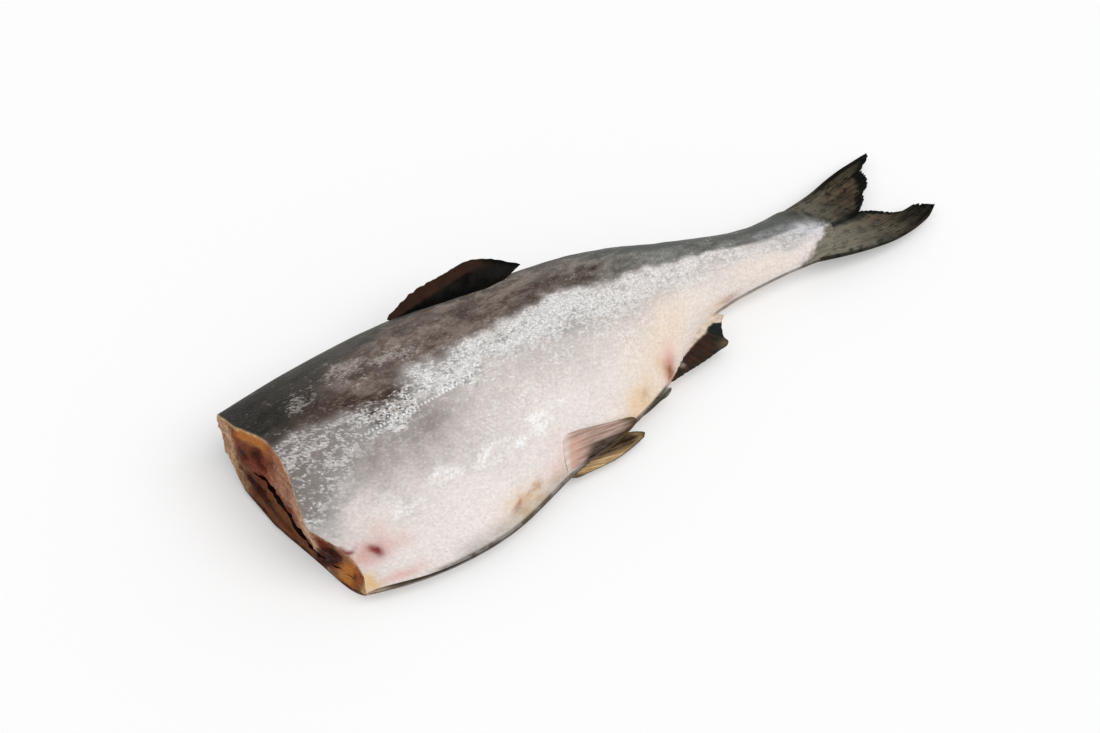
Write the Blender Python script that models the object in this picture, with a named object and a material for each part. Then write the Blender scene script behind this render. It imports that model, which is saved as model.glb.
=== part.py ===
"""A headless, gutted pink salmon lying on its right side, in metres with +Z up.

The fish is laid out from its cut: X runs towards the tail, Y from belly to back, and Z up from the
surface that it lies on. Across each section a share of 0 is the belly edge and 1 the back edge. At
the end it is moved so that the middle of its box's bottom is at the origin.
"""

import math

import bmesh
import bpy
import numpy as np

# ---- Body: sections along X, from the cut to the end of the scaled skin on the tail -----------
STATION_X = (
    -0.010, 0.027, 0.055, 0.090, 0.125, 0.160, 0.190,
    0.215, 0.240, 0.265, 0.290, 0.320, 0.338, 0.350,
)  # fmt: skip
BELLY_Y = (
    -0.0495, -0.0635, -0.0685, -0.0670, -0.0580, -0.0520, -0.0445,
    -0.0330, -0.0195, -0.0155, -0.0165, -0.0195, -0.0185, -0.0080,
)  # fmt: skip
BACK_Y = (
    0.0635, 0.0670, 0.0690, 0.0685, 0.0655, 0.0620, 0.0575,
    0.0510, 0.0408, 0.0307, 0.0223, 0.0210, 0.0195, 0.0090,
)  # fmt: skip
TOP_Z = (
    0.0495, 0.0520, 0.0530, 0.0525, 0.0505, 0.0475, 0.0440,
    0.0405, 0.0365, 0.0330, 0.0292, 0.0232, 0.0176, 0.0132,
)  # fmt: skip
BELLY_EDGE_Z = (
    0.0080, 0.0085, 0.0090, 0.0090, 0.0095, 0.0100, 0.0105,
    0.0115, 0.0125, 0.0135, 0.0145, 0.0142, 0.0131, 0.0119,
)  # fmt: skip
BACK_EDGE_Z = (
    0.0290, 0.0290, 0.0285, 0.0280, 0.0270, 0.0260, 0.0245,
    0.0230, 0.0215, 0.0195, 0.0175, 0.0150, 0.0134, 0.0120,
)  # fmt: skip
LIFT_X = (0.250, 0.265, 0.290, 0.320, 0.338, 0.350)  # where the wrist leaves the surface
LIFT_Z = (0.0, 0.0010, 0.0035, 0.0068, 0.0088, 0.0104)

# How a section's shape changes along X: the share that stands highest, the powers that round its
# two flanks, and the shares over which its flat underside turns up to either edge
SHAPE_X = (0.0, 0.12, 0.20, 0.25, 0.30)
PEAK_SHARE = (0.56, 0.55, 0.54, 0.53, 0.52)
BELLY_POWER = (0.90, 0.85, 0.71, 0.60, 0.50)
BACK_POWER = (0.60, 0.58, 0.55, 0.53, 0.50)
BELLY_TURN = (0.13, 0.145, 0.22, 0.34, 0.50)
BACK_TURN = (0.30, 0.315, 0.36, 0.42, 0.50)

# ---- The cut across the shoulders ------------------------------------------------------------
CUT_SHARE = (0.0, 0.04, 0.09, 0.14, 0.22, 0.31, 0.49, 0.74, 0.93, 1.0)
CUT_TOP_X = (0.006, 0.008, 0.007, 0.003, -0.003, -0.002, 0.002, 0.0035, -0.002, -0.005)
CUT_LOW_X = (0.006, 0.004, 0.002, 0.0005, -0.0015, -0.004, -0.0095, -0.0115, -0.0095, -0.005)
CUT_HOLLOW = 0.0045  # how far the flesh is drawn in round the belly cavity
HOLLOW_SHARE = (0.0, 0.10, 0.30, 0.65, 0.85, 1.0)
HOLLOW_DEPTH = (0.0, 0.0, 1.0, 1.0, 0.2, 0.0)
CURL_HEIGHT = 0.005  # the skin's lower edge curls up from the surface at the cut
CURL_START_X = -0.009
CURL_LENGTH = 0.022

# ---- The gutted belly: a low cavity, open at the cut and as a slit along the belly ------------
CAVITY_START_X = -0.022
VENT_X = 0.185
CAVITY_REACH_X = (-0.01, 0.03, 0.06, 0.09, 0.12, 0.15, 0.17, 0.185)
CAVITY_REACH = (0.735, 0.70, 0.66, 0.62, 0.52, 0.35, 0.20, 0.08)  # the share at its inner end
CAVITY_ROOM_X = (-0.010, 0.0, 0.012, 0.09, 0.12, 0.15, 0.185)
CAVITY_ROOM = (0.0062, 0.0068, 0.0095, 0.0095, 0.0070, 0.0040, 0.0008)
ROOM_AT = (0.0, 0.15, 0.28, 0.42, 0.55, 0.68, 0.82, 0.91, 1.0)  # along the reach, from the belly
ROOM_PROFILE = (0.10, 0.28, 0.46, 0.64, 0.86, 1.0, 0.84, 0.56, 0.06)
CAVITY_SHARE = (0.0, 0.10, 0.20, 0.30, 0.40, 0.50, 0.62, 0.75)
CAVITY_HEIGHT = (0.50, 0.46, 0.39, 0.37, 0.395, 0.435, 0.47, 0.53)  # as a part of the section
SLIT_OUTSIDE = 0.10  # how far the cutter reaches past the belly edge, along the reach

# ---- Fins: root and tip lines, thickness at the root and at the tip --------------------------
DORSAL_ROOT_X = (0.099, 0.113, 0.127, 0.140, 0.152)
DORSAL_ROOT_SHARE = (0.975, 0.940, 0.912, 0.890, 0.875)
DORSAL_TIP = (
    (0.1005, 0.0678, 0.0330), (0.1200, 0.0714, 0.0352), (0.1370, 0.0730, 0.0365),
    (0.1530, 0.0748, 0.0370), (0.1620, 0.0695, 0.0370), (0.1675, 0.0627, 0.0372),
    (0.1742, 0.0572, 0.0365),
)  # fmt: skip
DORSAL_THICKNESS = (0.0040, 0.0012)
UPPER_PELVIC_ROOT = ((0.1270, 0.105), (0.1245, 0.060), (0.1235, 0.022))  # X and share
UPPER_PELVIC_TIP = ((0.1630, 0.034), (0.1700, 0.018), (0.1640, 0.008), (0.1480, 0.006))
UPPER_PELVIC_RAY = (0.0, 0.3, 1.0)  # along a ray, and how high the fin lies over the skin there
UPPER_PELVIC_LIFT = (-0.0015, 0.0008, 0.0018)
PELVIC_THICKNESS = (0.0030, 0.0012)
LOWER_PELVIC_ROOT = ((0.1225, -0.0555, 0.0072), (0.1290, -0.0535, 0.0070), (0.1370, -0.0500, 0.0068))
LOWER_PELVIC_TIP = (
    (0.1290, -0.0585, 0.0058), (0.1390, -0.0590, 0.0052), (0.1500, -0.0598, 0.0050),
    (0.1610, -0.0585, 0.0050), (0.1715, -0.0548, 0.0055), (0.1640, -0.0495, 0.0058),
)  # fmt: skip
ANAL_ROOT = ((0.2035, -0.0345, 0.0112), (0.2240, -0.0245, 0.0116), (0.2460, -0.0110, 0.0122))
ANAL_TIP = (
    (0.2040, -0.0395, 0.0100), (0.2180, -0.0384, 0.0096), (0.2310, -0.0376, 0.0090),
    (0.2400, -0.0357, 0.0085), (0.2460, -0.0325, 0.0085), (0.2500, -0.0260, 0.0092),
    (0.2518, -0.0180, 0.0105),
)  # fmt: skip
ANAL_THICKNESS = (0.0050, 0.0012)
ADIPOSE_ROOT = ((0.2400, 0.0370, 0.0195), (0.2480, 0.0335, 0.0185), (0.2560, 0.0300, 0.0175))
ADIPOSE_TIP = (
    (0.2470, 0.0430, 0.0140), (0.2570, 0.0425, 0.0100), (0.2650, 0.0385, 0.0085),
    (0.2660, 0.0330, 0.0090),
)  # fmt: skip
ADIPOSE_THICKNESS = (0.0034, 0.0016)
VENT_CENTRE = (0.1890, -0.0452, 0.0100)
VENT_RADII = (0.0115, 0.0026, 0.0032)
VENT_TURN = math.radians(14)

# ---- Tail fin: its outer edges, its ragged rear edge across from the upper lobe, its height ---
TAIL_ROOT_X = 0.304
TAIL_UPPER_X = (0.304, 0.322, 0.336, 0.359, 0.379, 0.400, 0.418)
TAIL_UPPER_Y = (0.0140, 0.0190, 0.0216, 0.0258, 0.0312, 0.0353, 0.0372)
TAIL_LOWER_X = (0.304, 0.318, 0.330, 0.353, 0.379, 0.395, 0.409, 0.418)
TAIL_LOWER_Y = (-0.0120, -0.0178, -0.0217, -0.0272, -0.0297, -0.0280, -0.0239, -0.0190)
TAIL_EDGE_SHARE = (
    0.0, 0.06, 0.14, 0.25, 0.33, 0.36, 0.43, 0.52, 0.59, 0.68, 0.74, 0.77, 0.80, 0.90, 1.0,
)  # fmt: skip
TAIL_EDGE_X = (
    0.4153, 0.4125, 0.4000, 0.3985, 0.3935, 0.3870, 0.3830, 0.3722,
    0.3795, 0.3866, 0.3918, 0.3965, 0.4070, 0.4133, 0.4180,
)  # fmt: skip
TAIL_HEIGHT_X = (0.304, 0.318, 0.336, 0.360, 0.380, 0.400, 0.418)
TAIL_HEIGHT = (0.0155, 0.0146, 0.0130, 0.0105, 0.0084, 0.0062, 0.0042)
TAIL_THICKNESS_X = (0.304, 0.322, 0.340, 0.355, 0.380, 0.418)
TAIL_THICKNESS = (0.0070, 0.0062, 0.0046, 0.0034, 0.0021, 0.0013)
TAIL_RIM = 0.45  # the outer edges' part of that thickness

# ---- Where the middle of the finished box lies in this layout --------------------------------
MIDDLE_X = 0.20325
MIDDLE_Y = 0.0031

# ---- Steps of the meshes ---------------------------------------------------------------------
BODY_STEPS = 50
SHARE_STEPS = 20
FACE_STEPS = 6
CAVITY_STEPS = 20
REACH_STEPS = 12
FIN_STEPS = (12, 5)
TAIL_STEPS = (28, 8)
WELD = 0.00001
SMOOTH_ANGLE = math.radians(50)


def spline(places, values):
    """A smooth curve through the values at these places: a natural cubic spline."""
    places, values = np.asarray(places, float), np.asarray(values, float)
    steps, count = np.diff(places), len(places)
    system, right = np.eye(count), np.zeros(count)
    for i in range(1, count - 1):
        system[i, i - 1 : i + 2] = steps[i - 1], 2 * (steps[i - 1] + steps[i]), steps[i]
        rise, fall = values[i + 1] - values[i], values[i] - values[i - 1]
        right[i] = 6 * (rise / steps[i] - fall / steps[i - 1])
    bends = np.linalg.solve(system, right)

    def at(place):
        place = np.clip(place, places[0], places[-1])
        i = np.clip(np.searchsorted(places, place) - 1, 0, count - 2)
        along, step = place - places[i], steps[i]
        slope = (values[i + 1] - values[i]) / step - step * (2 * bends[i] + bends[i + 1]) / 6
        third = (bends[i + 1] - bends[i]) / (6 * step)
        return values[i] + along * (slope + along * (bends[i] / 2 + along * third))

    return at


belly_y = spline(STATION_X, BELLY_Y)
back_y = spline(STATION_X, BACK_Y)
flank_z = spline(STATION_X, TOP_Z)
belly_edge_z = spline(STATION_X, BELLY_EDGE_Z)
back_edge_z = spline(STATION_X, BACK_EDGE_Z)


def across(x, share):
    """Y at a share of the way from the belly edge to the back edge."""
    return belly_y(x) + (back_y(x) - belly_y(x)) * share


def top_z(x, share):
    """The height of the upper flank."""
    peak = np.interp(x, SHAPE_X, PEAK_SHARE)
    on_belly_side = share < peak
    out = np.where(on_belly_side, (peak - share) / peak, (share - peak) / (1 - peak))
    edge = np.where(on_belly_side, belly_edge_z(x), back_edge_z(x))
    belly_power, back_power = np.interp(x, SHAPE_X, BELLY_POWER), np.interp(x, SHAPE_X, BACK_POWER)
    power = np.where(on_belly_side, belly_power, back_power)
    return edge + (flank_z(x) - edge) * np.clip(1 - out**2, 0, 1) ** power


def low_z(x, share):
    """The height of the underside: flat where the fish rests, and turned up to both edges."""
    on_belly_side = share < 0.5
    from_edge = np.where(on_belly_side, share, 1 - share)
    belly_turn, back_turn = np.interp(x, SHAPE_X, BELLY_TURN), np.interp(x, SHAPE_X, BACK_TURN)
    turn = np.where(on_belly_side, belly_turn, back_turn)
    out = np.clip(1 - from_edge / turn, 0, 1)
    edge = np.where(on_belly_side, belly_edge_z(x), back_edge_z(x))
    rest = np.interp(x, LIFT_X, LIFT_Z)
    curl = np.clip(1 - (x - CURL_START_X) / CURL_LENGTH, 0, 1) ** 3
    rest = rest + CURL_HEIGHT * curl * np.clip(from_edge / 0.1, 0, 1)
    return rest + (edge - rest) * (1 - np.sqrt(1 - out**2))


def body_patch(upper, x_steps):
    """A grid of points on the upper or the lower skin."""
    share = 0.5 - 0.5 * np.cos(math.pi * np.arange(SHARE_STEPS + 1) / SHARE_STEPS)
    start = np.interp(share, CUT_SHARE, CUT_TOP_X if upper else CUT_LOW_X)
    along = np.linspace(0, 1, x_steps + 1)[:, None]
    x = start + (STATION_X[-1] - start) * along
    share = np.broadcast_to(share, x.shape)
    z = top_z(x, share) if upper else low_z(x, share)
    return np.stack([x, across(x, share), z], axis=-1)


def closing_patch(first, last, steps, hollow=0.0):
    """The face between two lines of points, drawn in along X by the hollow at its middle."""
    down = np.linspace(0, 1, steps + 1)[:, None, None]
    patch = first + (last - first) * down
    patch[..., 0] += hollow * (1 - (2 * down[..., 0] - 1) ** 2)
    return patch


def body():
    """The body's skin with its cut face, as one closed solid."""
    upper, lower = body_patch(True, BODY_STEPS), body_patch(False, BODY_STEPS)
    share = 0.5 - 0.5 * np.cos(math.pi * np.arange(SHARE_STEPS + 1) / SHARE_STEPS)
    hollow = CUT_HOLLOW * np.interp(share, HOLLOW_SHARE, HOLLOW_DEPTH)
    cut = closing_patch(upper[0], lower[0], FACE_STEPS, hollow)
    end = closing_patch(upper[-1], lower[-1], 2)
    return solid("body", [upper, lower, cut, end])


def cavity():
    """What the gutting took: a low, wide space that comes out as a slit along the belly."""
    x = np.linspace(CAVITY_START_X, VENT_X, CAVITY_STEPS + 1)[:, None]
    along = np.linspace(-SLIT_OUTSIDE, 1, REACH_STEPS + 1)[None, :]
    x, along = np.broadcast_arrays(x, along)
    share = along * spline(CAVITY_REACH_X, CAVITY_REACH)(x)
    inside = np.clip(share, 0, 1)
    low, high = low_z(x, inside), top_z(x, inside)
    middle = low + (high - low) * spline(CAVITY_SHARE, CAVITY_HEIGHT)(inside)
    room = np.interp(x, CAVITY_ROOM_X, CAVITY_ROOM) * spline(ROOM_AT, ROOM_PROFILE)(along)
    room = np.maximum(room, CAVITY_ROOM[-1])
    upper = np.stack([x, across(x, share), middle + room / 2], axis=-1)
    lower = np.stack([x, across(x, share), middle - room / 2], axis=-1)
    return slab("cavity", upper, lower)


def route(points, count):
    """Evenly spaced points on a smooth line through the given ones."""
    points = np.array(points, float)
    lengths = np.linalg.norm(np.diff(points, axis=0), axis=1)
    reached = np.concatenate([[0], np.cumsum(lengths)]) / lengths.sum()
    wanted = np.linspace(0, 1, count)
    return np.stack([spline(reached, column)(wanted) for column in points.T], axis=-1)


def thickened(name, middle, thickness):
    """A fin: a sheet of points given a thickness on either side."""
    along, outward = np.gradient(middle, axis=0), np.gradient(middle, axis=1)
    normals = np.cross(along, outward)
    normals /= np.linalg.norm(normals, axis=-1, keepdims=True)
    offset = normals * thickness[..., None] / 2
    return slab(name, middle + offset, middle - offset)


def rays(root, tip):
    """The grid of a fin's rays, from its root line to its tip line."""
    along, outward = FIN_STEPS
    root, tip = route(root, along + 1), route(tip, along + 1)
    ray = np.linspace(0, 1, outward + 1)[:, None]
    return root[:, None] * (1 - ray) + tip[:, None] * ray


def fin(name, middle, thickness):
    """A fin round this grid of rays, thinner towards the tips."""
    depth = np.linspace(*thickness, middle.shape[1])
    return thickened(name, middle, np.broadcast_to(depth, middle.shape[:2]))


def on_flank(x, share, lift):
    """Points on the upper flank, raised by the lift."""
    return np.stack([x, across(x, share), top_z(x, share) + lift], axis=-1)


def dorsal_fin():
    """The fin on the back, folded towards the tail."""
    x, share = np.array(DORSAL_ROOT_X), np.array(DORSAL_ROOT_SHARE)
    root = on_flank(x, share, -DORSAL_THICKNESS[0] / 2)
    return fin("dorsal_fin", rays(root, DORSAL_TIP), DORSAL_THICKNESS)


def upper_pelvic_fin():
    """The left pelvic fin lies back against the flank, its inner side sunk in the skin."""
    places = rays(UPPER_PELVIC_ROOT, UPPER_PELVIC_TIP)
    ray = np.linspace(0, 1, places.shape[1])
    lift = np.interp(ray, UPPER_PELVIC_RAY, UPPER_PELVIC_LIFT)
    return fin("upper_pelvic_fin", on_flank(places[..., 0], places[..., 1], lift), PELVIC_THICKNESS)


def tail_fin():
    """The tail fin, whose rays run from the wrist to the ragged rear edge."""
    across_steps, along_steps = TAIL_STEPS
    share = np.linspace(0, 1, across_steps + 1)[:, None]
    along = np.linspace(0, 1, along_steps + 1)[None, :]
    rear = np.interp(share, TAIL_EDGE_SHARE, TAIL_EDGE_X)
    x = TAIL_ROOT_X + (rear - TAIL_ROOT_X) * along
    upper_y, lower_y = spline(TAIL_UPPER_X, TAIL_UPPER_Y)(x), spline(TAIL_LOWER_X, TAIL_LOWER_Y)(x)
    z = spline(TAIL_HEIGHT_X, TAIL_HEIGHT)(x)
    middle = np.stack([x, upper_y + (lower_y - upper_y) * share, z], axis=-1)
    rim = 1 - (1 - TAIL_RIM) * (2 * share - 1) ** 6
    return thickened("tail_fin", middle, np.interp(x, TAIL_THICKNESS_X, TAIL_THICKNESS) * rim)


def vent():
    """The small raised lip round the vent."""
    shape = bmesh.new()
    bmesh.ops.create_uvsphere(shape, u_segments=12, v_segments=8, radius=1.0)
    for vert in shape.verts:
        x, y, z = (part * radius for part, radius in zip(vert.co, VENT_RADII))
        turned_x = x * math.cos(VENT_TURN) - y * math.sin(VENT_TURN)
        turned_y = x * math.sin(VENT_TURN) + y * math.cos(VENT_TURN)
        vert.co = (VENT_CENTRE[0] + turned_x, VENT_CENTRE[1] + turned_y, VENT_CENTRE[2] + z)
    return shown("vent", shape)


def slab(name, upper, lower):
    """A closed solid between two grids of points."""
    rims = [
        np.stack([upper[0], lower[0]]),
        np.stack([upper[-1], lower[-1]]),
        np.stack([upper[:, 0], lower[:, 0]]),
        np.stack([upper[:, -1], lower[:, -1]]),
    ]
    return solid(name, [upper, lower, *rims])


def solid(name, patches):
    """One closed object from grids of points that share their borders."""
    shape = bmesh.new()
    for patch in patches:
        rows, columns = patch.shape[:2]
        verts = [[shape.verts.new(patch[i, j]) for j in range(columns)] for i in range(rows)]
        for i in range(rows - 1):
            for j in range(columns - 1):
                shape.faces.new((verts[i][j], verts[i + 1][j], verts[i + 1][j + 1], verts[i][j + 1]))
    bmesh.ops.remove_doubles(shape, verts=shape.verts, dist=WELD)
    bmesh.ops.dissolve_degenerate(shape, edges=shape.edges, dist=WELD)
    bmesh.ops.triangulate(shape, faces=shape.faces)
    bmesh.ops.recalc_face_normals(shape, faces=shape.faces)
    return shown(name, shape)


def shown(name, shape):
    """An object in the scene with this bmesh as its mesh."""
    mesh = bpy.data.meshes.new(name)
    shape.to_mesh(mesh)
    shape.free()
    made = bpy.data.objects.new(name, mesh)
    bpy.context.scene.collection.objects.link(made)
    return made


def combined(target, others, operation):
    """The target with the others joined to it or cut from it by one Boolean, which is applied."""
    group = bpy.data.collections.new("boolean_group")
    bpy.context.scene.collection.children.link(group)
    for other in others:
        bpy.context.scene.collection.objects.unlink(other)
        group.objects.link(other)
    boolean = target.modifiers.new("combine", "BOOLEAN")
    boolean.operation = operation
    boolean.operand_type = "COLLECTION"
    boolean.collection = group
    boolean.solver = "EXACT"
    bpy.context.view_layer.update()
    evaluated = target.evaluated_get(bpy.context.evaluated_depsgraph_get())
    mesh = bpy.data.meshes.new_from_object(evaluated)
    target.modifiers.clear()
    target.data = mesh
    for other in others:
        bpy.data.objects.remove(other)
    bpy.data.collections.remove(group)
    return target


def tidied(target):
    """Only the largest body of the mesh, in triangles, moved to the origin."""
    shape = bmesh.new()
    shape.from_mesh(target.data)
    bmesh.ops.remove_doubles(shape, verts=shape.verts, dist=WELD)
    bmesh.ops.dissolve_degenerate(shape, edges=shape.edges, dist=WELD)
    bmesh.ops.triangulate(shape, faces=shape.faces)
    left, islands = set(shape.verts), []
    while left:
        island, edge = set(), {next(iter(left))}
        while edge:
            island |= edge
            edge = {e.other_vert(v) for v in edge for e in v.link_edges} - island
        islands.append(island)
        left -= island
    islands.sort(key=len)
    scraps = [vert for island in islands[:-1] for vert in island]
    bmesh.ops.delete(shape, geom=scraps, context="VERTS")
    bmesh.ops.translate(shape, verts=shape.verts, vec=(-MIDDLE_X, -MIDDLE_Y, 0.0))
    shape.to_mesh(target.data)
    shape.free()
    target.data.shade_smooth()
    target.data.set_sharp_from_angle(angle=SMOOTH_ANGLE)
    return target


def skin_material():
    """Wet silver-grey fish skin."""
    material = bpy.data.materials.new("fish_skin")
    material.use_nodes = True
    shader = material.node_tree.nodes["Principled BSDF"]
    shader.inputs["Base Color"].default_value = (0.55, 0.51, 0.49, 1.0)
    shader.inputs["Roughness"].default_value = 0.35
    shader.inputs["Metallic"].default_value = 0.1
    return material


def main():
    for existing in list(bpy.data.objects):
        bpy.data.objects.remove(existing)
    fish = combined(body(), [cavity()], "DIFFERENCE")
    fins = [
        dorsal_fin(),
        upper_pelvic_fin(),
        fin("lower_pelvic_fin", rays(LOWER_PELVIC_ROOT, LOWER_PELVIC_TIP), PELVIC_THICKNESS),
        fin("anal_fin", rays(ANAL_ROOT, ANAL_TIP), ANAL_THICKNESS),
        fin("adipose_fin", rays(ADIPOSE_ROOT, ADIPOSE_TIP), ADIPOSE_THICKNESS),
        tail_fin(),
        vent(),
    ]
    fish = tidied(combined(fish, fins, "UNION"))
    fish.name = "pink_salmon"
    fish.data.materials.clear()
    fish.data.materials.append(skin_material())


main()
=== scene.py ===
"""The looks of a headless, gutted pink salmon lying on its right side, in the frame of its solid.

The fish is laid out from its cut: X runs towards the tail, Y from belly to back, and Z up from the
surface that it lies on. Across each section a share of 0 is the belly edge and 1 the back edge.
Every surface is a function of two parameters on a grid, worked out in metres as whole arrays, and
is moved at the end so that the layout's middle is at the middle of the frame's box.
"""

import math

import bmesh
import bpy
import numpy as np
from mathutils import Matrix, Vector


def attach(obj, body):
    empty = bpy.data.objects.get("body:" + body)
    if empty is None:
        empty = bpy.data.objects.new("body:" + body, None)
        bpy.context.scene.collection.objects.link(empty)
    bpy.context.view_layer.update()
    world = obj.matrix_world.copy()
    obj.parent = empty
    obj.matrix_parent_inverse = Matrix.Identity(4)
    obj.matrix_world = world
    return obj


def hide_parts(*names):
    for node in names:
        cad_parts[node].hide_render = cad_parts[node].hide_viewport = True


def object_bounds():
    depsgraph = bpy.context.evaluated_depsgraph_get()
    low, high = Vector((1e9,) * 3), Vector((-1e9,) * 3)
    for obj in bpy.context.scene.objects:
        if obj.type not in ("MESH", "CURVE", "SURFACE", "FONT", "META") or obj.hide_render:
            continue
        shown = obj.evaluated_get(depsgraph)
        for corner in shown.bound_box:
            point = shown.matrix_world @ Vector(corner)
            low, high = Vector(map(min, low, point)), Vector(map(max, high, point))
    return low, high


bl_info = {
    "name": "Headless pink salmon",
    "version": (1, 0, 0),
    "blender": (4, 5, 0),
    "location": "View3D > Sidebar > Fish",
    "description": "Builds the skin, cut face, fins and tail of a headless, gutted pink salmon",
    "category": "Add Mesh",
}

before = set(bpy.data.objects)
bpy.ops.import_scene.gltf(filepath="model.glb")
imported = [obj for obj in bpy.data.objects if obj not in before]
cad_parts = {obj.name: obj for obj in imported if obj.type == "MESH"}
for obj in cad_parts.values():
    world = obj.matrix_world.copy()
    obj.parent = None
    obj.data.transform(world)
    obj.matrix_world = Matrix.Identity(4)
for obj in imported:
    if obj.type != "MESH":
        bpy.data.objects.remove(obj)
CAD_LOW, CAD_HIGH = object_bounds()
NODE = "pink_salmon"
BODY = "root"

# ---- Layout of the body: sections along X, from the cut to the end of the scaled skin ----
STATION_X = (
    -0.010, 0.027, 0.055, 0.090, 0.125, 0.160, 0.190,
    0.215, 0.240, 0.265, 0.290, 0.320, 0.338, 0.350,
)
BELLY_Y = (
    -0.0495, -0.0635, -0.0685, -0.0670, -0.0580, -0.0520, -0.0445,
    -0.0330, -0.0195, -0.0155, -0.0165, -0.0195, -0.0185, -0.0080,
)
BACK_Y = (
    0.0635, 0.0670, 0.0690, 0.0685, 0.0655, 0.0620, 0.0575,
    0.0510, 0.0408, 0.0307, 0.0223, 0.0210, 0.0195, 0.0090,
)
TOP_Z = (
    0.0495, 0.0520, 0.0530, 0.0525, 0.0505, 0.0475, 0.0440,
    0.0405, 0.0365, 0.0330, 0.0292, 0.0232, 0.0176, 0.0132,
)
BELLY_EDGE_Z = (
    0.0080, 0.0085, 0.0090, 0.0090, 0.0095, 0.0100, 0.0105,
    0.0115, 0.0125, 0.0135, 0.0145, 0.0142, 0.0131, 0.0119,
)
BACK_EDGE_Z = (
    0.0290, 0.0290, 0.0285, 0.0280, 0.0270, 0.0260, 0.0245,
    0.0230, 0.0215, 0.0195, 0.0175, 0.0150, 0.0134, 0.0120,
)
LIFT_X = (0.250, 0.265, 0.290, 0.320, 0.338, 0.350)  # where the wrist leaves the surface
LIFT_Z = (0.0, 0.0010, 0.0035, 0.0068, 0.0088, 0.0104)
SHAPE_X = (0.0, 0.12, 0.20, 0.25, 0.30)  # how a section's shape changes along X
PEAK_SHARE = (0.56, 0.55, 0.54, 0.53, 0.52)
BELLY_POWER = (0.90, 0.85, 0.71, 0.60, 0.50)
BACK_POWER = (0.60, 0.58, 0.55, 0.53, 0.50)
BELLY_TURN = (0.13, 0.145, 0.22, 0.34, 0.50)
BACK_TURN = (0.30, 0.315, 0.36, 0.42, 0.50)

# ---- Layout of the cut and of the gutted belly ----
CUT_SHARE = (0.0, 0.04, 0.09, 0.14, 0.22, 0.31, 0.40, 0.49, 0.62, 0.68, 0.74, 0.80, 0.86, 0.93, 1.0)
CUT_TOP_X = (
    0.006, 0.008, 0.007, 0.003, -0.0055, -0.0036, -0.0012, 0.0006,
    0.0008, -0.0019, -0.0050, -0.0078, -0.0082, -0.0088, -0.0070,
)
CUT_LOW_X = (
    0.006, 0.004, 0.002, 0.0005, -0.0015, -0.0040, -0.0068, -0.0095,
    -0.0105, -0.0110, -0.0115, -0.0109, -0.0103, -0.0095, -0.0070,
)
CUT_FOREMOST = -0.0114  # no part of the cut's rough face stands further forward
CUT_HOLLOW = 0.0008  # how deep the cut face is hollowed, times the depth at each share
HOLLOW_SHARE = (0.0, 0.10, 0.30, 0.65, 0.85, 1.0)
HOLLOW_DEPTH = (0.0, 0.0, 1.0, 1.0, 0.2, 0.0)
CURL_HEIGHT = 0.003  # how far the underside curls up at the cut
CURL_START_X = -0.009
CURL_LENGTH = 0.022
VENT_X = 0.185
# How far across the cavity reaches, how high it is, its profile across, and where its middle lies
CAVITY_REACH_X = (-0.01, 0.03, 0.06, 0.09, 0.12, 0.15, 0.17, 0.185)
CAVITY_REACH = (0.735, 0.70, 0.66, 0.62, 0.52, 0.35, 0.20, 0.08)
CAVITY_ROOM_X = (-0.010, 0.0, 0.012, 0.09, 0.12, 0.15, 0.185)
CAVITY_ROOM = (0.0042, 0.0046, 0.0085, 0.0095, 0.0070, 0.0040, 0.0008)
ROOM_AT = (0.0, 0.15, 0.28, 0.42, 0.55, 0.68, 0.82, 0.91, 1.0)
ROOM_PROFILE = (0.08, 0.08, 0.34, 0.66, 0.92, 1.0, 0.80, 0.36, 0.0)
CAVITY_SHARE = (0.0, 0.10, 0.20, 0.30, 0.40, 0.50, 0.62, 0.75)
CAVITY_HEIGHT = (0.50, 0.43, 0.30, 0.245, 0.335, 0.415, 0.425, 0.40)
LIP_SHARE = 0.03  # how far in from the slit its lips stand apart
LIP_PULL = 0.0012  # how far the upper flap's lip is drawn back from the lower one's near the cut
LIP_PULL_X = (0.002, 0.012, 0.032, 0.062)
LIP_PULL_PART = (0.0, 1.0, 0.8, 0.0)
LIP_PULL_SHARE = 0.07  # how far in from the lip the pull is felt

# ---- Layout of the fins ----
DORSAL_ROOT_X = (0.097, 0.113, 0.127, 0.140, 0.152)
DORSAL_ROOT_SHARE = (0.975, 0.940, 0.912, 0.890, 0.875)
DORSAL_TIP = (
    (0.0944, 0.0675, 0.0335), (0.1080, 0.0716, 0.0356), (0.1200, 0.0734, 0.0374),
    (0.1370, 0.0739, 0.0378), (0.1530, 0.0746, 0.0372), (0.1620, 0.0695, 0.0370),
    (0.1675, 0.0627, 0.0372), (0.1742, 0.0572, 0.0365),
)
DORSAL_THICKNESS = (0.0036, 0.0009)
UPPER_PELVIC_ROOT = ((0.1285, 0.106), (0.1250, 0.060), (0.1238, 0.016))
UPPER_PELVIC_TIP = ((0.1680, 0.016), (0.1722, 0.002), (0.1680, -0.015), (0.1500, -0.020))
UPPER_PELVIC_RAY = (0.0, 0.10, 0.30, 1.0)
UPPER_PELVIC_LIFT = (-0.0012, 0.0002, 0.0009, 0.0018)
PELVIC_THICKNESS = (0.0026, 0.0008)
LOWER_PELVIC_ROOT = ((0.1225, -0.0555, 0.0072), (0.1290, -0.0535, 0.0070), (0.1370, -0.0500, 0.0068))
LOWER_PELVIC_TIP = (
    (0.1290, -0.0585, 0.0058), (0.1390, -0.0590, 0.0052), (0.1500, -0.0598, 0.0050),
    (0.1620, -0.0588, 0.0050), (0.1740, -0.0552, 0.0055), (0.1650, -0.0490, 0.0058),
)
ANAL_ROOT = ((0.2035, -0.0345, 0.0112), (0.2240, -0.0245, 0.0116), (0.2480, -0.0105, 0.0124))
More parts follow.
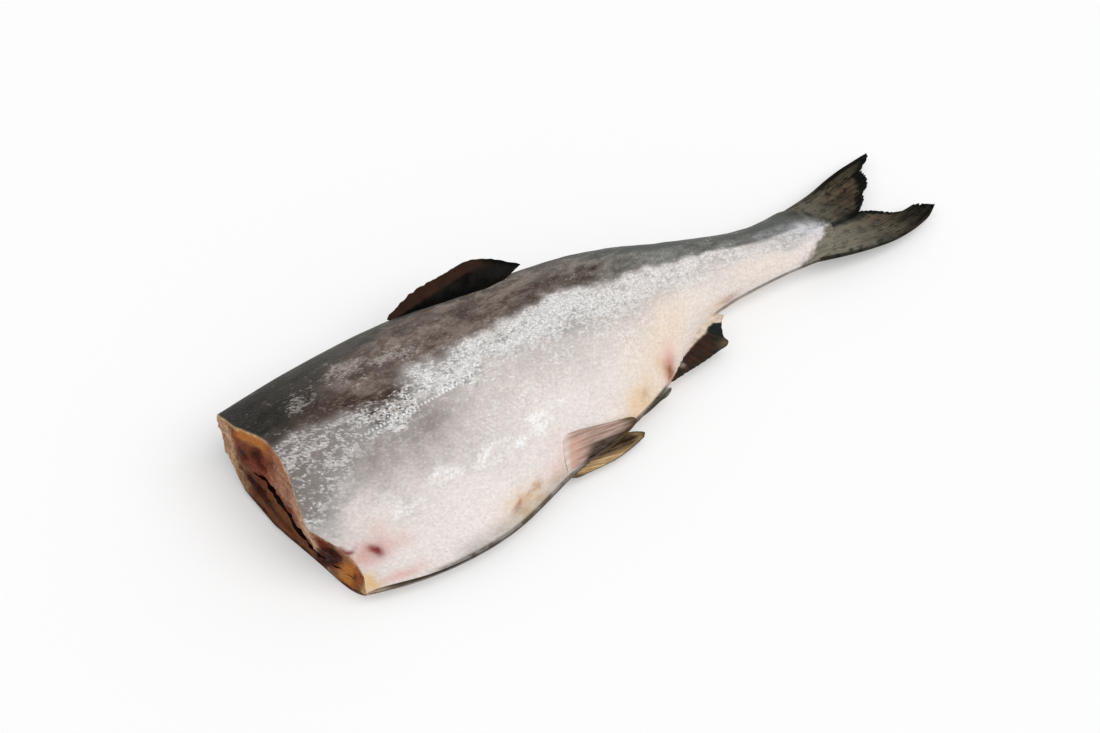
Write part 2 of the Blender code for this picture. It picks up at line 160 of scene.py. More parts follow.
ANAL_TIP = (
    (0.2040, -0.0392, 0.0100), (0.2180, -0.0382, 0.0096), (0.2310, -0.0370, 0.0090),
    (0.2420, -0.0358, 0.0086), (0.2460, -0.0350, 0.0085), (0.2470, -0.0338, 0.0085),
    (0.2468, -0.0315, 0.0086), (0.2474, -0.0290, 0.0090), (0.2500, -0.0245, 0.0098),
    (0.2532, -0.0208, 0.0104), (0.2562, -0.0188, 0.0108),
)
ANAL_THICKNESS = (0.0050, 0.0009)
# How far out the body's skin comes on the anal fin: 1 at the rays' tips
SKIN_ON_FIN_PLACE = (0.0, 0.24, 0.46, 0.64, 0.79, 0.86, 0.90, 0.94, 1.0)
SKIN_ON_FIN_REACH = (0.12, 0.22, 0.23, 0.28, 0.42, 0.60, 0.90, 1.3, 1.4)
ADIPOSE_ROOT = ((0.2400, 0.0370, 0.0195), (0.2480, 0.0335, 0.0185), (0.2560, 0.0300, 0.0175))
ADIPOSE_TIP = (
    (0.2470, 0.0430, 0.0140), (0.2570, 0.0425, 0.0100), (0.2650, 0.0385, 0.0085),
    (0.2660, 0.0330, 0.0090),
)
ADIPOSE_THICKNESS = (0.0034, 0.0014)
VENT_CENTRE = (0.1890, -0.0452, 0.0100)
VENT_RADII = (0.0125, 0.0016, 0.0024)
VENT_TURN = math.radians(14)
TAIL_ROOT_X = 0.304
TAIL_UPPER_X = (0.304, 0.322, 0.336, 0.359, 0.379, 0.400, 0.418)
TAIL_UPPER_Y = (0.0140, 0.0190, 0.0216, 0.0258, 0.0312, 0.0353, 0.0372)
TAIL_LOWER_X = (0.304, 0.318, 0.330, 0.353, 0.379, 0.395, 0.409, 0.418)
TAIL_LOWER_Y = (-0.0120, -0.0178, -0.0217, -0.0272, -0.0297, -0.0280, -0.0239, -0.0190)
TAIL_EDGE_SHARE = (
    0.0, 0.06, 0.14, 0.25, 0.33, 0.36, 0.43, 0.52, 0.59, 0.68, 0.74, 0.77, 0.80, 0.90, 1.0,
)
TAIL_EDGE_X = (
    0.4153, 0.4125, 0.4000, 0.3985, 0.3935, 0.3870, 0.3830, 0.3722,
    0.3795, 0.3866, 0.3918, 0.3965, 0.4070, 0.4133, 0.4180,
)
TAIL_HEIGHT_X = (0.304, 0.318, 0.336, 0.360, 0.380, 0.400, 0.418)
TAIL_HEIGHT = (0.0155, 0.0146, 0.0130, 0.0105, 0.0084, 0.0062, 0.0042)
TAIL_THICKNESS_X = (0.304, 0.322, 0.340, 0.355, 0.380, 0.418)
TAIL_THICKNESS = (0.0070, 0.0062, 0.0046, 0.0032, 0.0018, 0.0009)
TAIL_RIM = 0.45  # the thickness at the upper and lower edge, as a share
TOOTH_LENGTH = 0.0009
TAIL_WAVES = 0.0004  # how high the tail fin's waves are
LAYOUT_MIDDLE = (0.20325, 0.0031)  # of the layout's box, seen from above

# ---- Camera of the photograph, in the layout ----
CAMERA_PLACE = (-0.14551, -0.41951, 0.63355)
CAMERA_RIGHT = (0.81501, -0.57945, 0.0)
CAMERA_UP = (0.44388, 0.62433, 0.64279)
SENSOR_WIDTH = 36.0  # millimetres
CLIP_START = 0.01

# ---- The white room ----
LAMP_FROM = (0.42, -0.48, 1.0)  # the direction that the main light comes from
WHITE = (1.0, 1.0, 1.0, 1.0)
FLOOR_COLOUR = (0.67, 0.67, 0.67, 1.0)
FLOOR_GLOW = 0.25  # keeps the floor nearly white round the fish
FLOOR_ROUGHNESS = 0.9

# ---- Steps of the grids ----
SLIT_STEPS = 176  # along the trunk, as far as the slit goes
REAR_STEPS = 136
GIRTH_STEPS = 100
LINING_STEPS = 60
FACE_STEPS = 34
WELD = 0.0000005  # points closer than this are joined
SMOOTH_ANGLE = math.radians(48)  # steeper edges stay sharp
DORSAL_STEPS = (72, 48)  # along the fin's root and along its rays
UPPER_PELVIC_STEPS = (56, 56)
LOWER_PELVIC_STEPS = (56, 40)
ANAL_STEPS = (72, 40)
ADIPOSE_STEPS = (40, 30)
TAIL_STEPS = (300, 96)
VENT_STEPS = (49, 25)
DORSAL_RAYS, PELVIC_RAYS, ANAL_RAYS, ADIPOSE_RAYS, TAIL_RAYS, VENT_RAYS = 12, 9, 14, 3, 34, 5
SKIN, FLESH, LINING = 0, 1, 2  # the trunk's materials


def seen(red, green, blue):
    """A colour given as it is seen, 0 to 255 a channel, in the linear light that shaders use."""
    parts = np.array((red, green, blue)) / 255
    linear = np.where(parts <= 0.04045, parts / 12.92, ((parts + 0.055) / 1.055) ** 2.4)
    return (*(float(part) for part in linear), 1.0)


# ---- Shape functions ----


def spline(places, values):
    """A smooth curve through the values at these places: a natural cubic spline."""
    places, values = np.asarray(places, float), np.asarray(values, float)
    steps, count = np.diff(places), len(places)
    system, right = np.eye(count), np.zeros(count)
    for i in range(1, count - 1):
        system[i, i - 1 : i + 2] = steps[i - 1], 2 * (steps[i - 1] + steps[i]), steps[i]
        rise, fall = values[i + 1] - values[i], values[i] - values[i - 1]
        right[i] = 6 * (rise / steps[i] - fall / steps[i - 1])
    bends = np.linalg.solve(system, right)

    def at(place):
        place = np.clip(place, places[0], places[-1])
        i = np.clip(np.searchsorted(places, place) - 1, 0, count - 2)
        along, step = place - places[i], steps[i]
        slope = (values[i + 1] - values[i]) / step - step * (2 * bends[i] + bends[i + 1]) / 6
        third = (bends[i + 1] - bends[i]) / (6 * step)
        return values[i] + along * (slope + along * (bends[i] / 2 + along * third))

    return at


belly_y = spline(STATION_X, BELLY_Y)
back_y = spline(STATION_X, BACK_Y)
flank_z = spline(STATION_X, TOP_Z)
belly_edge_z = spline(STATION_X, BELLY_EDGE_Z)
back_edge_z = spline(STATION_X, BACK_EDGE_Z)


def ease(value, low, high):
    """0 below low and 1 above high, with a smooth S between: 3t squared less 2t cubed."""
    part = np.clip((value - low) / (high - low), 0, 1)
    return part * part * (3 - 2 * part)


def window(value, low, high, leave_low, leave_high):
    """1 between the two slopes and 0 outside: one ease up, times one less an ease down."""
    return ease(value, low, high) * (1 - ease(value, leave_low, leave_high))


def hill(value, centre, half):
    """1 at the centre, falling off to both sides: e to the power of less (distance / half)^2."""
    return np.exp(-(((value - centre) / half) ** 2))


def ovals(x, y, rows):
    """A sum of soft ovals. A row gives a weight, the place and half size along x and y, and perhaps
    a turn: y for each metre of x. An oval is its weight times the product of two hills."""
    total = 0.0
    for weight, at_x, at_y, half_x, half_y, *turn in rows:
        turned = y - turn[0] * (x - at_x) if turn else y
        total = total + weight * hill(x, at_x, half_x) * hill(turned, at_y, half_y)
    return total


def unevenness(points, size, seed, waves=28):
    """Smooth seeded unevenness, about -1 to 1: sine waves about this long, in many directions."""
    draw = np.random.default_rng(seed)
    directions = draw.normal(size=(waves, points.shape[-1]))
    directions /= np.linalg.norm(directions, axis=1, keepdims=True)
    directions /= size * draw.uniform(0.7, 1.6, (waves, 1))
    angles = 2 * math.pi * (points @ directions.T + draw.uniform(0, 1, waves))
    return np.sin(angles).sum(axis=-1) / math.sqrt(waves)


def across(x, share):
    """Y at a share of the way from the belly edge to the back edge."""
    return belly_y(x) + (back_y(x) - belly_y(x)) * share


def top_z(x, share):
    """The height of the upper flank: its edge's height, plus the rise times (1 - out^2)^power."""
    peak = np.interp(x, SHAPE_X, PEAK_SHARE)
    on_belly_side = share < peak
    out = np.where(on_belly_side, (peak - share) / peak, (share - peak) / (1 - peak))
    edge = np.where(on_belly_side, belly_edge_z(x), back_edge_z(x))
    belly_power, back_power = np.interp(x, SHAPE_X, BELLY_POWER), np.interp(x, SHAPE_X, BACK_POWER)
    power = np.where(on_belly_side, belly_power, back_power)
    return edge + (flank_z(x) - edge) * np.clip(1 - out**2, 0, 1) ** power


def low_z(x, share):
    """The height of the underside: flat where the fish rests, and a quarter round to each edge."""
    on_belly_side = share < 0.5
    from_edge = np.where(on_belly_side, share, 1 - share)
    belly_turn, back_turn = np.interp(x, SHAPE_X, BELLY_TURN), np.interp(x, SHAPE_X, BACK_TURN)
    turn = np.where(on_belly_side, belly_turn, back_turn)
    out = np.clip(1 - from_edge / turn, 0, 1)
    edge = np.where(on_belly_side, belly_edge_z(x), back_edge_z(x))
    rest = np.interp(x, LIFT_X, LIFT_Z)
    curl = np.clip(1 - (x - CURL_START_X) / CURL_LENGTH, 0, 1) ** 3
    rest = rest + CURL_HEIGHT * curl * np.clip(from_edge / 0.1, 0, 1)
    return rest + (edge - rest) * (1 - np.sqrt(1 - out**2))


def normals_of(points):
    """The unit normal at each point of a grid: the cross product of its two directions."""
    along, across_it = np.gradient(points, axis=0), np.gradient(points, axis=1)
    normal = np.cross(along, across_it)
    return normal / np.maximum(np.linalg.norm(normal, axis=-1, keepdims=True), 1e-12)


def route(points, count):
    """Evenly spaced points on a smooth line through the given ones."""
    points = np.array(points, float)
    lengths = np.linalg.norm(np.diff(points, axis=0), axis=1)
    reached = np.concatenate([[0], np.cumsum(lengths)]) / lengths.sum()
    wanted = np.linspace(0, 1, count)
    return np.stack([spline(reached, column)(wanted) for column in points.T], axis=-1)


# ---- Meshes from grids ----


class Patch:
    """A grid of points with its place on the surface (UV), its masks and its material's number."""

    def __init__(self, points, uv, masks=None, material=0):
        self.points, self.uv, self.masks, self.material = points, uv, masks or {}, material


def grid_quads(rows, columns, start):
    """The corners of each quad of a grid whose points are numbered row by row from start."""
    corner = start + np.arange(rows - 1)[:, None] * columns + np.arange(columns - 1)[None, :]
    quads = np.stack([corner, corner + columns, corner + columns + 1, corner + 1], axis=-1)
    return quads.reshape(-1, 4)


def piece(name, patches, materials):
    """One closed object from patches that share their borders, riding on the fish's body."""
    starts = np.cumsum([0] + [patch.points[..., 0].size for patch in patches])
    points = np.concatenate([patch.points.reshape(-1, 3) for patch in patches])
    uv = np.concatenate([patch.uv.reshape(-1, 2) for patch in patches])
    quads = [grid_quads(*patch.points.shape[:2], start) for patch, start in zip(patches, starts)]
    worn = np.concatenate([np.full(len(q), patch.material) for q, patch in zip(quads, patches)])
    quads = np.concatenate(quads)
    middle = (CAD_LOW + CAD_HIGH) / 2
    points = points + np.array((middle.x - LAYOUT_MIDDLE[0], middle.y - LAYOUT_MIDDLE[1], 0.0))

    mesh = bpy.data.meshes.new(name)
    mesh.from_pydata(points.tolist(), [], quads.tolist())
    mesh.polygons.foreach_set("material_index", worn.astype(np.int32))
    layer = mesh.uv_layers.new(name="surface")
    layer.data.foreach_set("uv", uv[quads.ravel()].astype(np.float32).ravel())
    places = np.unique(np.round(points * 1e6).astype(np.int64), axis=0, return_inverse=True)[1].ravel()
    for mask in sorted({mask for patch in patches for mask in patch.masks}):
        values = [
            np.broadcast_to(patch.masks.get(mask, math.nan), patch.points.shape[:2]).ravel()
            for patch in patches
        ]
        shared = np.full(places.max() + 1, math.nan)  # so that a border has the masks of both patches
        np.fmax.at(shared, places, np.concatenate(values))
        attribute = mesh.attributes.new(mask, "FLOAT", "POINT")
        attribute.data.foreach_set("value", np.nan_to_num(shared[places]).astype(np.float32))
    for material in materials:
        mesh.materials.append(material)

    shape = bmesh.new()
    shape.from_mesh(mesh)
    bmesh.ops.remove_doubles(shape, verts=shape.verts, dist=WELD)
    bmesh.ops.dissolve_degenerate(shape, edges=shape.edges, dist=WELD)
    bmesh.ops.recalc_face_normals(shape, faces=shape.faces)
    shape.to_mesh(mesh)
    shape.free()
    mesh.shade_smooth()
    mesh.set_sharp_from_angle(angle=SMOOTH_ANGLE)
    made = bpy.data.objects.new(name, mesh)
    bpy.context.scene.collection.objects.link(made)
    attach(made, BODY)
    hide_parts(NODE)
    return made


def blade(name, middle, thickness, masks, material):
    """A fin: a sheet of points thickened to both sides, closed by strips round its rim."""
    offset = normals_of(middle) * thickness[..., None] / 2
    rows, columns = middle.shape[:2]
    place = np.broadcast_to(np.linspace(0, 1, rows)[:, None], (rows, columns))
    ray = np.broadcast_to(np.linspace(0, 1, columns)[None, :], (rows, columns))
    uv = np.stack([place, ray], axis=-1)
    upper, lower = middle + offset, middle - offset
    patches = [Patch(upper, uv, masks), Patch(lower, uv, masks)]
    for cut in (np.s_[0], np.s_[-1], np.s_[:, 0], np.s_[:, -1]):
        rim_masks = {mask: np.stack([values[cut]] * 2) for mask, values in masks.items()}
        rim = np.stack([upper[cut], lower[cut]])
        patches.append(Patch(rim, np.stack([uv[cut]] * 2), rim_masks))
    return piece(name, patches, [material])


# ---- Shader nodes ----


class Nodes:
    """Adds nodes to one tree and feeds their sockets with values or other sockets."""

    def __init__(self, tree):
        self.tree = tree

    def feed(self, socket, value):
        if isinstance(value, bpy.types.NodeSocket):
            self.tree.links.new(value, socket)
        else:
            socket.default_value = value

    def put(self, kind, feeds=None, **settings):
        node = self.tree.nodes.new(kind)
        for name, value in settings.items():
            setattr(node, name, value)
        for key, value in (feeds or {}).items():
            self.feed(node.inputs[key], value)
        return node

    def first(self, kind, feeds=None, **settings):
        """The first output of a new node."""
        return self.put(kind, feeds, **settings).outputs[0]

    def blend(self, part, first, second):
        """The first colour, turning into the second as the part goes from 0 to 1."""
        return self.put("ShaderNodeMix", {0: part, 6: first, 7: second}, data_type="RGBA").outputs[2]

    def math(self, operation, *values, clamp=False):
        return self.first("ShaderNodeMath", dict(enumerate(values)), operation=operation, use_clamp=clamp)

    def times(self, first, second):
        """The product, kept between 0 and 1."""
        return self.math("MULTIPLY", first, second, clamp=True)

    def vector(self, operation, first, second):
        return self.first("ShaderNodeVectorMath", {0: first, 1: second}, operation=operation)

    def join(self, x, y, z):
        return self.first("ShaderNodeCombineXYZ", {0: x, 1: y, 2: z})

    def noise(self, place, scale, detail, roughness=0.5):
        feeds = {"Vector": place, "Scale": scale, "Detail": detail, "Roughness": roughness}
        return self.first("ShaderNodeTexNoise", feeds)

    def cells(self, place, disorder, feature="F1"):
        """The outputs of flat cells, one for each unit of the place."""
        feeds = {"Vector": place, "Scale": 1.0, "Randomness": disorder}
        return self.put("ShaderNodeTexVoronoi", feeds, voronoi_dimensions="2D", feature=feature).outputs

    def ease(self, value, low, high, to_low=0.0, to_high=1.0):
        """A smooth S from to_low to to_high, as the value goes from low to high."""
        feeds = {0: value, 1: low, 2: high, 3: to_low, 4: to_high}
        return self.first("ShaderNodeMapRange", feeds, interpolation_type="SMOOTHSTEP")

    def vary(self, value, at_0, at_1):
        """A smooth S from at_0 to at_1, as the value goes from 0 to 1."""
        return self.ease(value, 0.0, 1.0, at_0, at_1)

    def mask(self, name):
        """One of the mesh's own masks."""
        return self.put("ShaderNodeAttribute", attribute_name=name).outputs["Fac"]

    def lay(self, colour, layers):
        """Lays colours over this one. A layer gives its mask's name, the pattern that varies it, how
        much of the mask is left where the pattern is 0 and where it is 1, and the colour."""
        for name, pattern, at_0, at_1, laid in layers:
            part = self.times(self.mask(name), self.vary(pattern, at_0, at_1))
            colour = self.blend(part, colour, laid)
        return colour

    def group(self, group, **feeds):
        node = self.put("ShaderNodeGroup", node_tree=group)
        for name, value in feeds.items():
            self.feed(node.inputs[name.replace("_", " ").capitalize()], value)
        return node.outputs


def mottle(nodes, place, size, stretch, low, high):
    """Uneven patches of this size, stretched along the fish: 0 below low and 1 above high."""
    feeds = {"place": place, "size": size, "stretch": stretch, "from": low, "to": high}
    return nodes.group(patches_group(), **feeds)["Mask"]


def new_group(name, inputs, outputs):
    """An empty shader group with a place, these number inputs with their defaults and these number
    outputs: its tree, its nodes' helper, and its input and output sockets."""
    tree = bpy.data.node_groups.new(name, "ShaderNodeTree")
    tree.interface.new_socket("Place", in_out="INPUT", socket_type="NodeSocketVector")
    for socket, value in inputs.items():
        made = tree.interface.new_socket(socket, in_out="INPUT", socket_type="NodeSocketFloat")
        made.default_value = value
    for socket in outputs:
        tree.interface.new_socket(socket, in_out="OUTPUT", socket_type="NodeSocketFloat")
    nodes = Nodes(tree)
    entry = nodes.put("NodeGroupInput").outputs
    return tree, nodes, entry, nodes.put("NodeGroupOutput").inputs


def patches_group():
    """Soft uneven patches of a given size, stretched along the fish: fractal noise, eased."""
    if "uneven_patches" in bpy.data.node_groups:
        return bpy.data.node_groups["uneven_patches"]
    inputs = {"Size": 0.01, "Stretch": 1.0, "From": 0.4, "To": 0.6}
    tree, nodes, entry, leave = new_group("uneven_patches", inputs, ["Mask"])
    once = nodes.math("DIVIDE", 1.0, entry["Size"])
    scale = nodes.join(nodes.math("DIVIDE", once, entry["Stretch"]), once, once)
    noise = nodes.noise(nodes.vector("MULTIPLY", entry["Place"], scale), 1.0, 4.0, 0.6)
    nodes.feed(leave["Mask"], nodes.ease(noise, entry["From"], entry["To"]))
    return tree


def cells_group():
    """Small scales in slanting rows: flat random cells, turned, with a tone, a tint, a bead that
    rises from the rim to the middle, and the gap at the rim."""
    if "small_cells" in bpy.data.node_groups:
        return bpy.data.node_groups["small_cells"]
    inputs = {"Length": 0.002, "Width": 0.002, "Slant": 0.5, "Disorder": 0.7}
    tree, nodes, entry, leave = new_group("small_cells", inputs, ["Tone", "Tint", "Bead", "Gap"])
    feeds = {"Vector": entry["Place"], "Angle": entry["Slant"]}
    turned = nodes.first("ShaderNodeVectorRotate", feeds, rotation_type="Z_AXIS")
    scaled = nodes.vector("DIVIDE", turned, nodes.join(entry["Length"], entry["Width"], 1.0))
    cell = nodes.cells(scaled, entry["Disorder"])
    random = nodes.put("ShaderNodeSeparateColor", {0: cell["Color"]}).outputs
    rim = nodes.cells(scaled, entry["Disorder"], "DISTANCE_TO_EDGE")["Distance"]
    nodes.feed(leave["Tone"], random[0])
    nodes.feed(leave["Tint"], random[1])
    nodes.feed(leave["Bead"], nodes.ease(cell["Distance"], 0.66, 0.18))
    nodes.feed(leave["Gap"], nodes.ease(rim, 0.16, 0.02))
    return tree


def rays_group():
    """A fin's rays: ridges along each ray, unevenly wide, with a streaky tone and single spots."""
    if "fin_rays" in bpy.data.node_groups:
        return bpy.data.node_groups["fin_rays"]
    inputs = {"Rays": 24.0, "Waver": 0.4, "Spot length": 0.006, "Spot width": 0.0022, "Spot share": 0.4}
    tree, nodes, entry, leave = new_group("fin_rays", inputs, ["Ridge", "Tone", "Spot"])
    split = nodes.put("ShaderNodeSeparateXYZ", {0: entry["Place"]}).outputs
    stretched = nodes.join(nodes.math("MULTIPLY", split[0], 9.0), split[1], 0.0)
    shift = nodes.math("MULTIPLY", nodes.noise(stretched, 1.0, 2.0), entry["Waver"])
    count = nodes.math("MULTIPLY_ADD", split[0], entry["Rays"], shift)
    nodes.feed(leave["Ridge"], nodes.ease(nodes.math("PINGPONG", count, 1.0), 0.1, 0.9))
    streak = nodes.join(count, nodes.math("MULTIPLY", split[1], 2.5), 0.0)
    nodes.feed(leave["Tone"], nodes.noise(streak, 0.9, 4.0, 0.65))
    size = nodes.join(entry["Spot width"], entry["Spot length"], 1.0)
    cell = nodes.cells(nodes.vector("DIVIDE", entry["Place"], size), 0.9)
    chosen = nodes.first("ShaderNodeSeparateColor", {0: cell["Color"]})
    blot = nodes.ease(cell["Distance"], 0.48, 0.2)
    nodes.feed(leave["Spot"], nodes.times(nodes.ease(chosen, entry["Spot share"], 0.0), blot))
    return tree


def new_material(name):
    """A material with an empty tree but for its shader and output: itself, its nodes, its shader."""
    material = bpy.data.materials.new(name)
    material.use_nodes = True
    return material, Nodes(material.node_tree), material.node_tree.nodes["Principled BSDF"]


def finish_material(nodes, shader, colour, roughness, height, depth, **fixed):
    """Feeds colour, roughness and bump to the shader, and sets its plain values."""
    nodes.feed(shader.inputs["Base Color"], colour)
    nodes.feed(shader.inputs["Roughness"], roughness)
    bump = nodes.first("ShaderNodeBump", {"Height": height, "Strength": 1.0, "Distance": depth})
    nodes.feed(shader.inputs["Normal"], bump)
    for socket, value in fixed.items():
        shader.inputs[socket.replace("_", " ")].default_value = value


# ---- Trunk: skin, cut face and lining ----

# Lines on the flank, as shares at places along X
BAND_X = (
    -0.01, 0.01, 0.02, 0.035, 0.05, 0.06, 0.08, 0.125, 0.15,
    0.165, 0.18, 0.20, 0.22, 0.25, 0.28, 0.31, 0.35,
)
BAND_HIGH = (
    0.60, 0.62, 0.61, 0.57, 0.55, 0.56, 0.60, 0.61, 0.63,
    0.65, 0.63, 0.60, 0.55, 0.48, 0.46, 0.50, 0.56,
)
BAND_LOW = (
    0.16, 0.24, 0.34, 0.42, 0.445, 0.45, 0.452, 0.45, 0.44,
    0.43, 0.40, 0.36, 0.32, 0.28, 0.24, 0.26, 0.30,
)
BAND_FILL = (
    0.38, 0.44, 0.46, 0.48, 0.54, 0.64, 0.76, 0.79, 0.82,
    0.84, 0.80, 0.75, 0.70, 0.66, 0.62, 0.58, 0.50,
)
DARK_X = (-0.01, 0.01, 0.02, 0.04, 0.06, 0.09, 0.15, 0.20, 0.22, 0.24, 0.27, 0.30, 0.35)
DARK_SHARE = (0.64, 0.66, 0.69, 0.75, 0.83, 0.90, 0.95, 0.90, 0.82, 0.74, 0.70, 0.72, 0.76)
LATERAL_GROOVE = (0.00018, 0.008)  # depth, and half width as a share
LATERAL_X = (-0.01, 0.04, 0.10, 0.14, 0.18, 0.22, 0.26, 0.35)
LATERAL_SHARE = (0.50, 0.462, 0.462, 0.452, 0.44, 0.43, 0.44, 0.47)
END_SHARE = (0.0, 0.17, 0.25, 0.38, 0.50, 0.62, 0.70, 0.79, 1.0)  # where the scales end on the tail
END_X = (0.313, 0.326, 0.335, 0.344, 0.344, 0.338, 0.336, 0.330, 0.322)

# Ovals on the flank: weight, place and half size along X in metres and across in shares, and turn
FLANK_OVALS = {
    "dark": ((0.75, 0.130, 0.882, 0.024, 0.024, -1.7),),
    "streak": (
        (1.5, 0.043, 0.62, 0.020, 0.060, -5.5), (1.5, 0.0605, 0.545, 0.011, 0.040),
        (0.8, 0.025, 0.73, 0.009, 0.04), (0.8, 0.028, 0.62, 0.012, 0.035),
        (0.45, 0.041, 0.53, 0.011, 0.03), (0.5, 0.086, 0.665, 0.012, 0.035),
        (0.4, 0.062, 0.60, 0.012, 0.04), (1.1, 0.172, 0.74, 0.016, 0.050),
        (1.1, 0.198, 0.72, 0.012, 0.040), (0.5, 0.100, 0.72, 0.016, 0.04),
        (0.6, 0.128, 0.76, 0.014, 0.04),
    ),
    "bruise": (
        (1.1, 0.0178, 0.112, 0.0028, 0.017, -1), (0.22, 0.017, 0.12, 0.008, 0.034),
        (1.2, 0.0048, 0.148, 0.0050, 0.009, 3), (0.25, 0.004, 0.125, 0.0022, 0.024),
    ),
    "stain": (
        (0.9, 0.090, 0.032, 0.0045, 0.010), (0.7, 0.0985, 0.044, 0.0035, 0.008),
        (0.5, 0.105, 0.05, 0.004, 0.008), (0.5, 0.183, 0.045, 0.003, 0.02),
        (1.1, 0.2045, 0.020, 0.0040, 0.045), (0.55, 0.262, 0.015, 0.007, 0.02),
    ),
    "gold": (
        (0.85, 0.096, 0.030, 0.017, 0.034), (0.75, 0.180, 0.035, 0.010, 0.05),
        (1.4, 0.0075, 0.015, 0.0058, 0.028), (0.6, 0.1995, 0.07, 0.003, 0.06),
        (0.5, 0.252, 0.02, 0.010, 0.03), (0.35, 0.150, 0.02, 0.03, 0.02),
    ),
    "pink": (
        (0.8, 0.009, 0.11, 0.007, 0.04), (0.6, 0.020, 0.12, 0.010, 0.05),
        (1.0, 0.206, 0.055, 0.006, 0.065), (0.5, 0.120, 0.05, 0.008, 0.04),
        (0.9, 0.024, 0.016, 0.012, 0.012, 0.3), (0.35, 0.030, 0.13, 0.006, 0.03),
    ),
    "cream": (
        (1, 0.210, 0.13, 0.030, 0.14), (0.5, 0.29, 0.12, 0.03, 0.14), (0.9, 0.175, 0.03, 0.016, 0.06),
    ),
}
# Painted glints of single scales on the back, as ovals like the ones above
SPARKLE_OVALS = (
    (0.50, 0.024, 0.76, 0.010, 0.05), (0.50, 0.053, 0.76, 0.012, 0.06), (0.45, 0.082, 0.70, 0.010, 0.05),
    (0.45, 0.070, 0.71, 0.008, 0.04),
)
CORNER_OVAL = ((1, -0.001, 0.665, 0.007, 0.06),)


def girth_of(points):
    """How far each point lies from the first one of its section, along the surface."""
    lengths = np.linalg.norm(np.diff(points, axis=1), axis=-1)
    return np.concatenate([np.zeros((len(points), 1)), np.cumsum(lengths, axis=1)], axis=1)


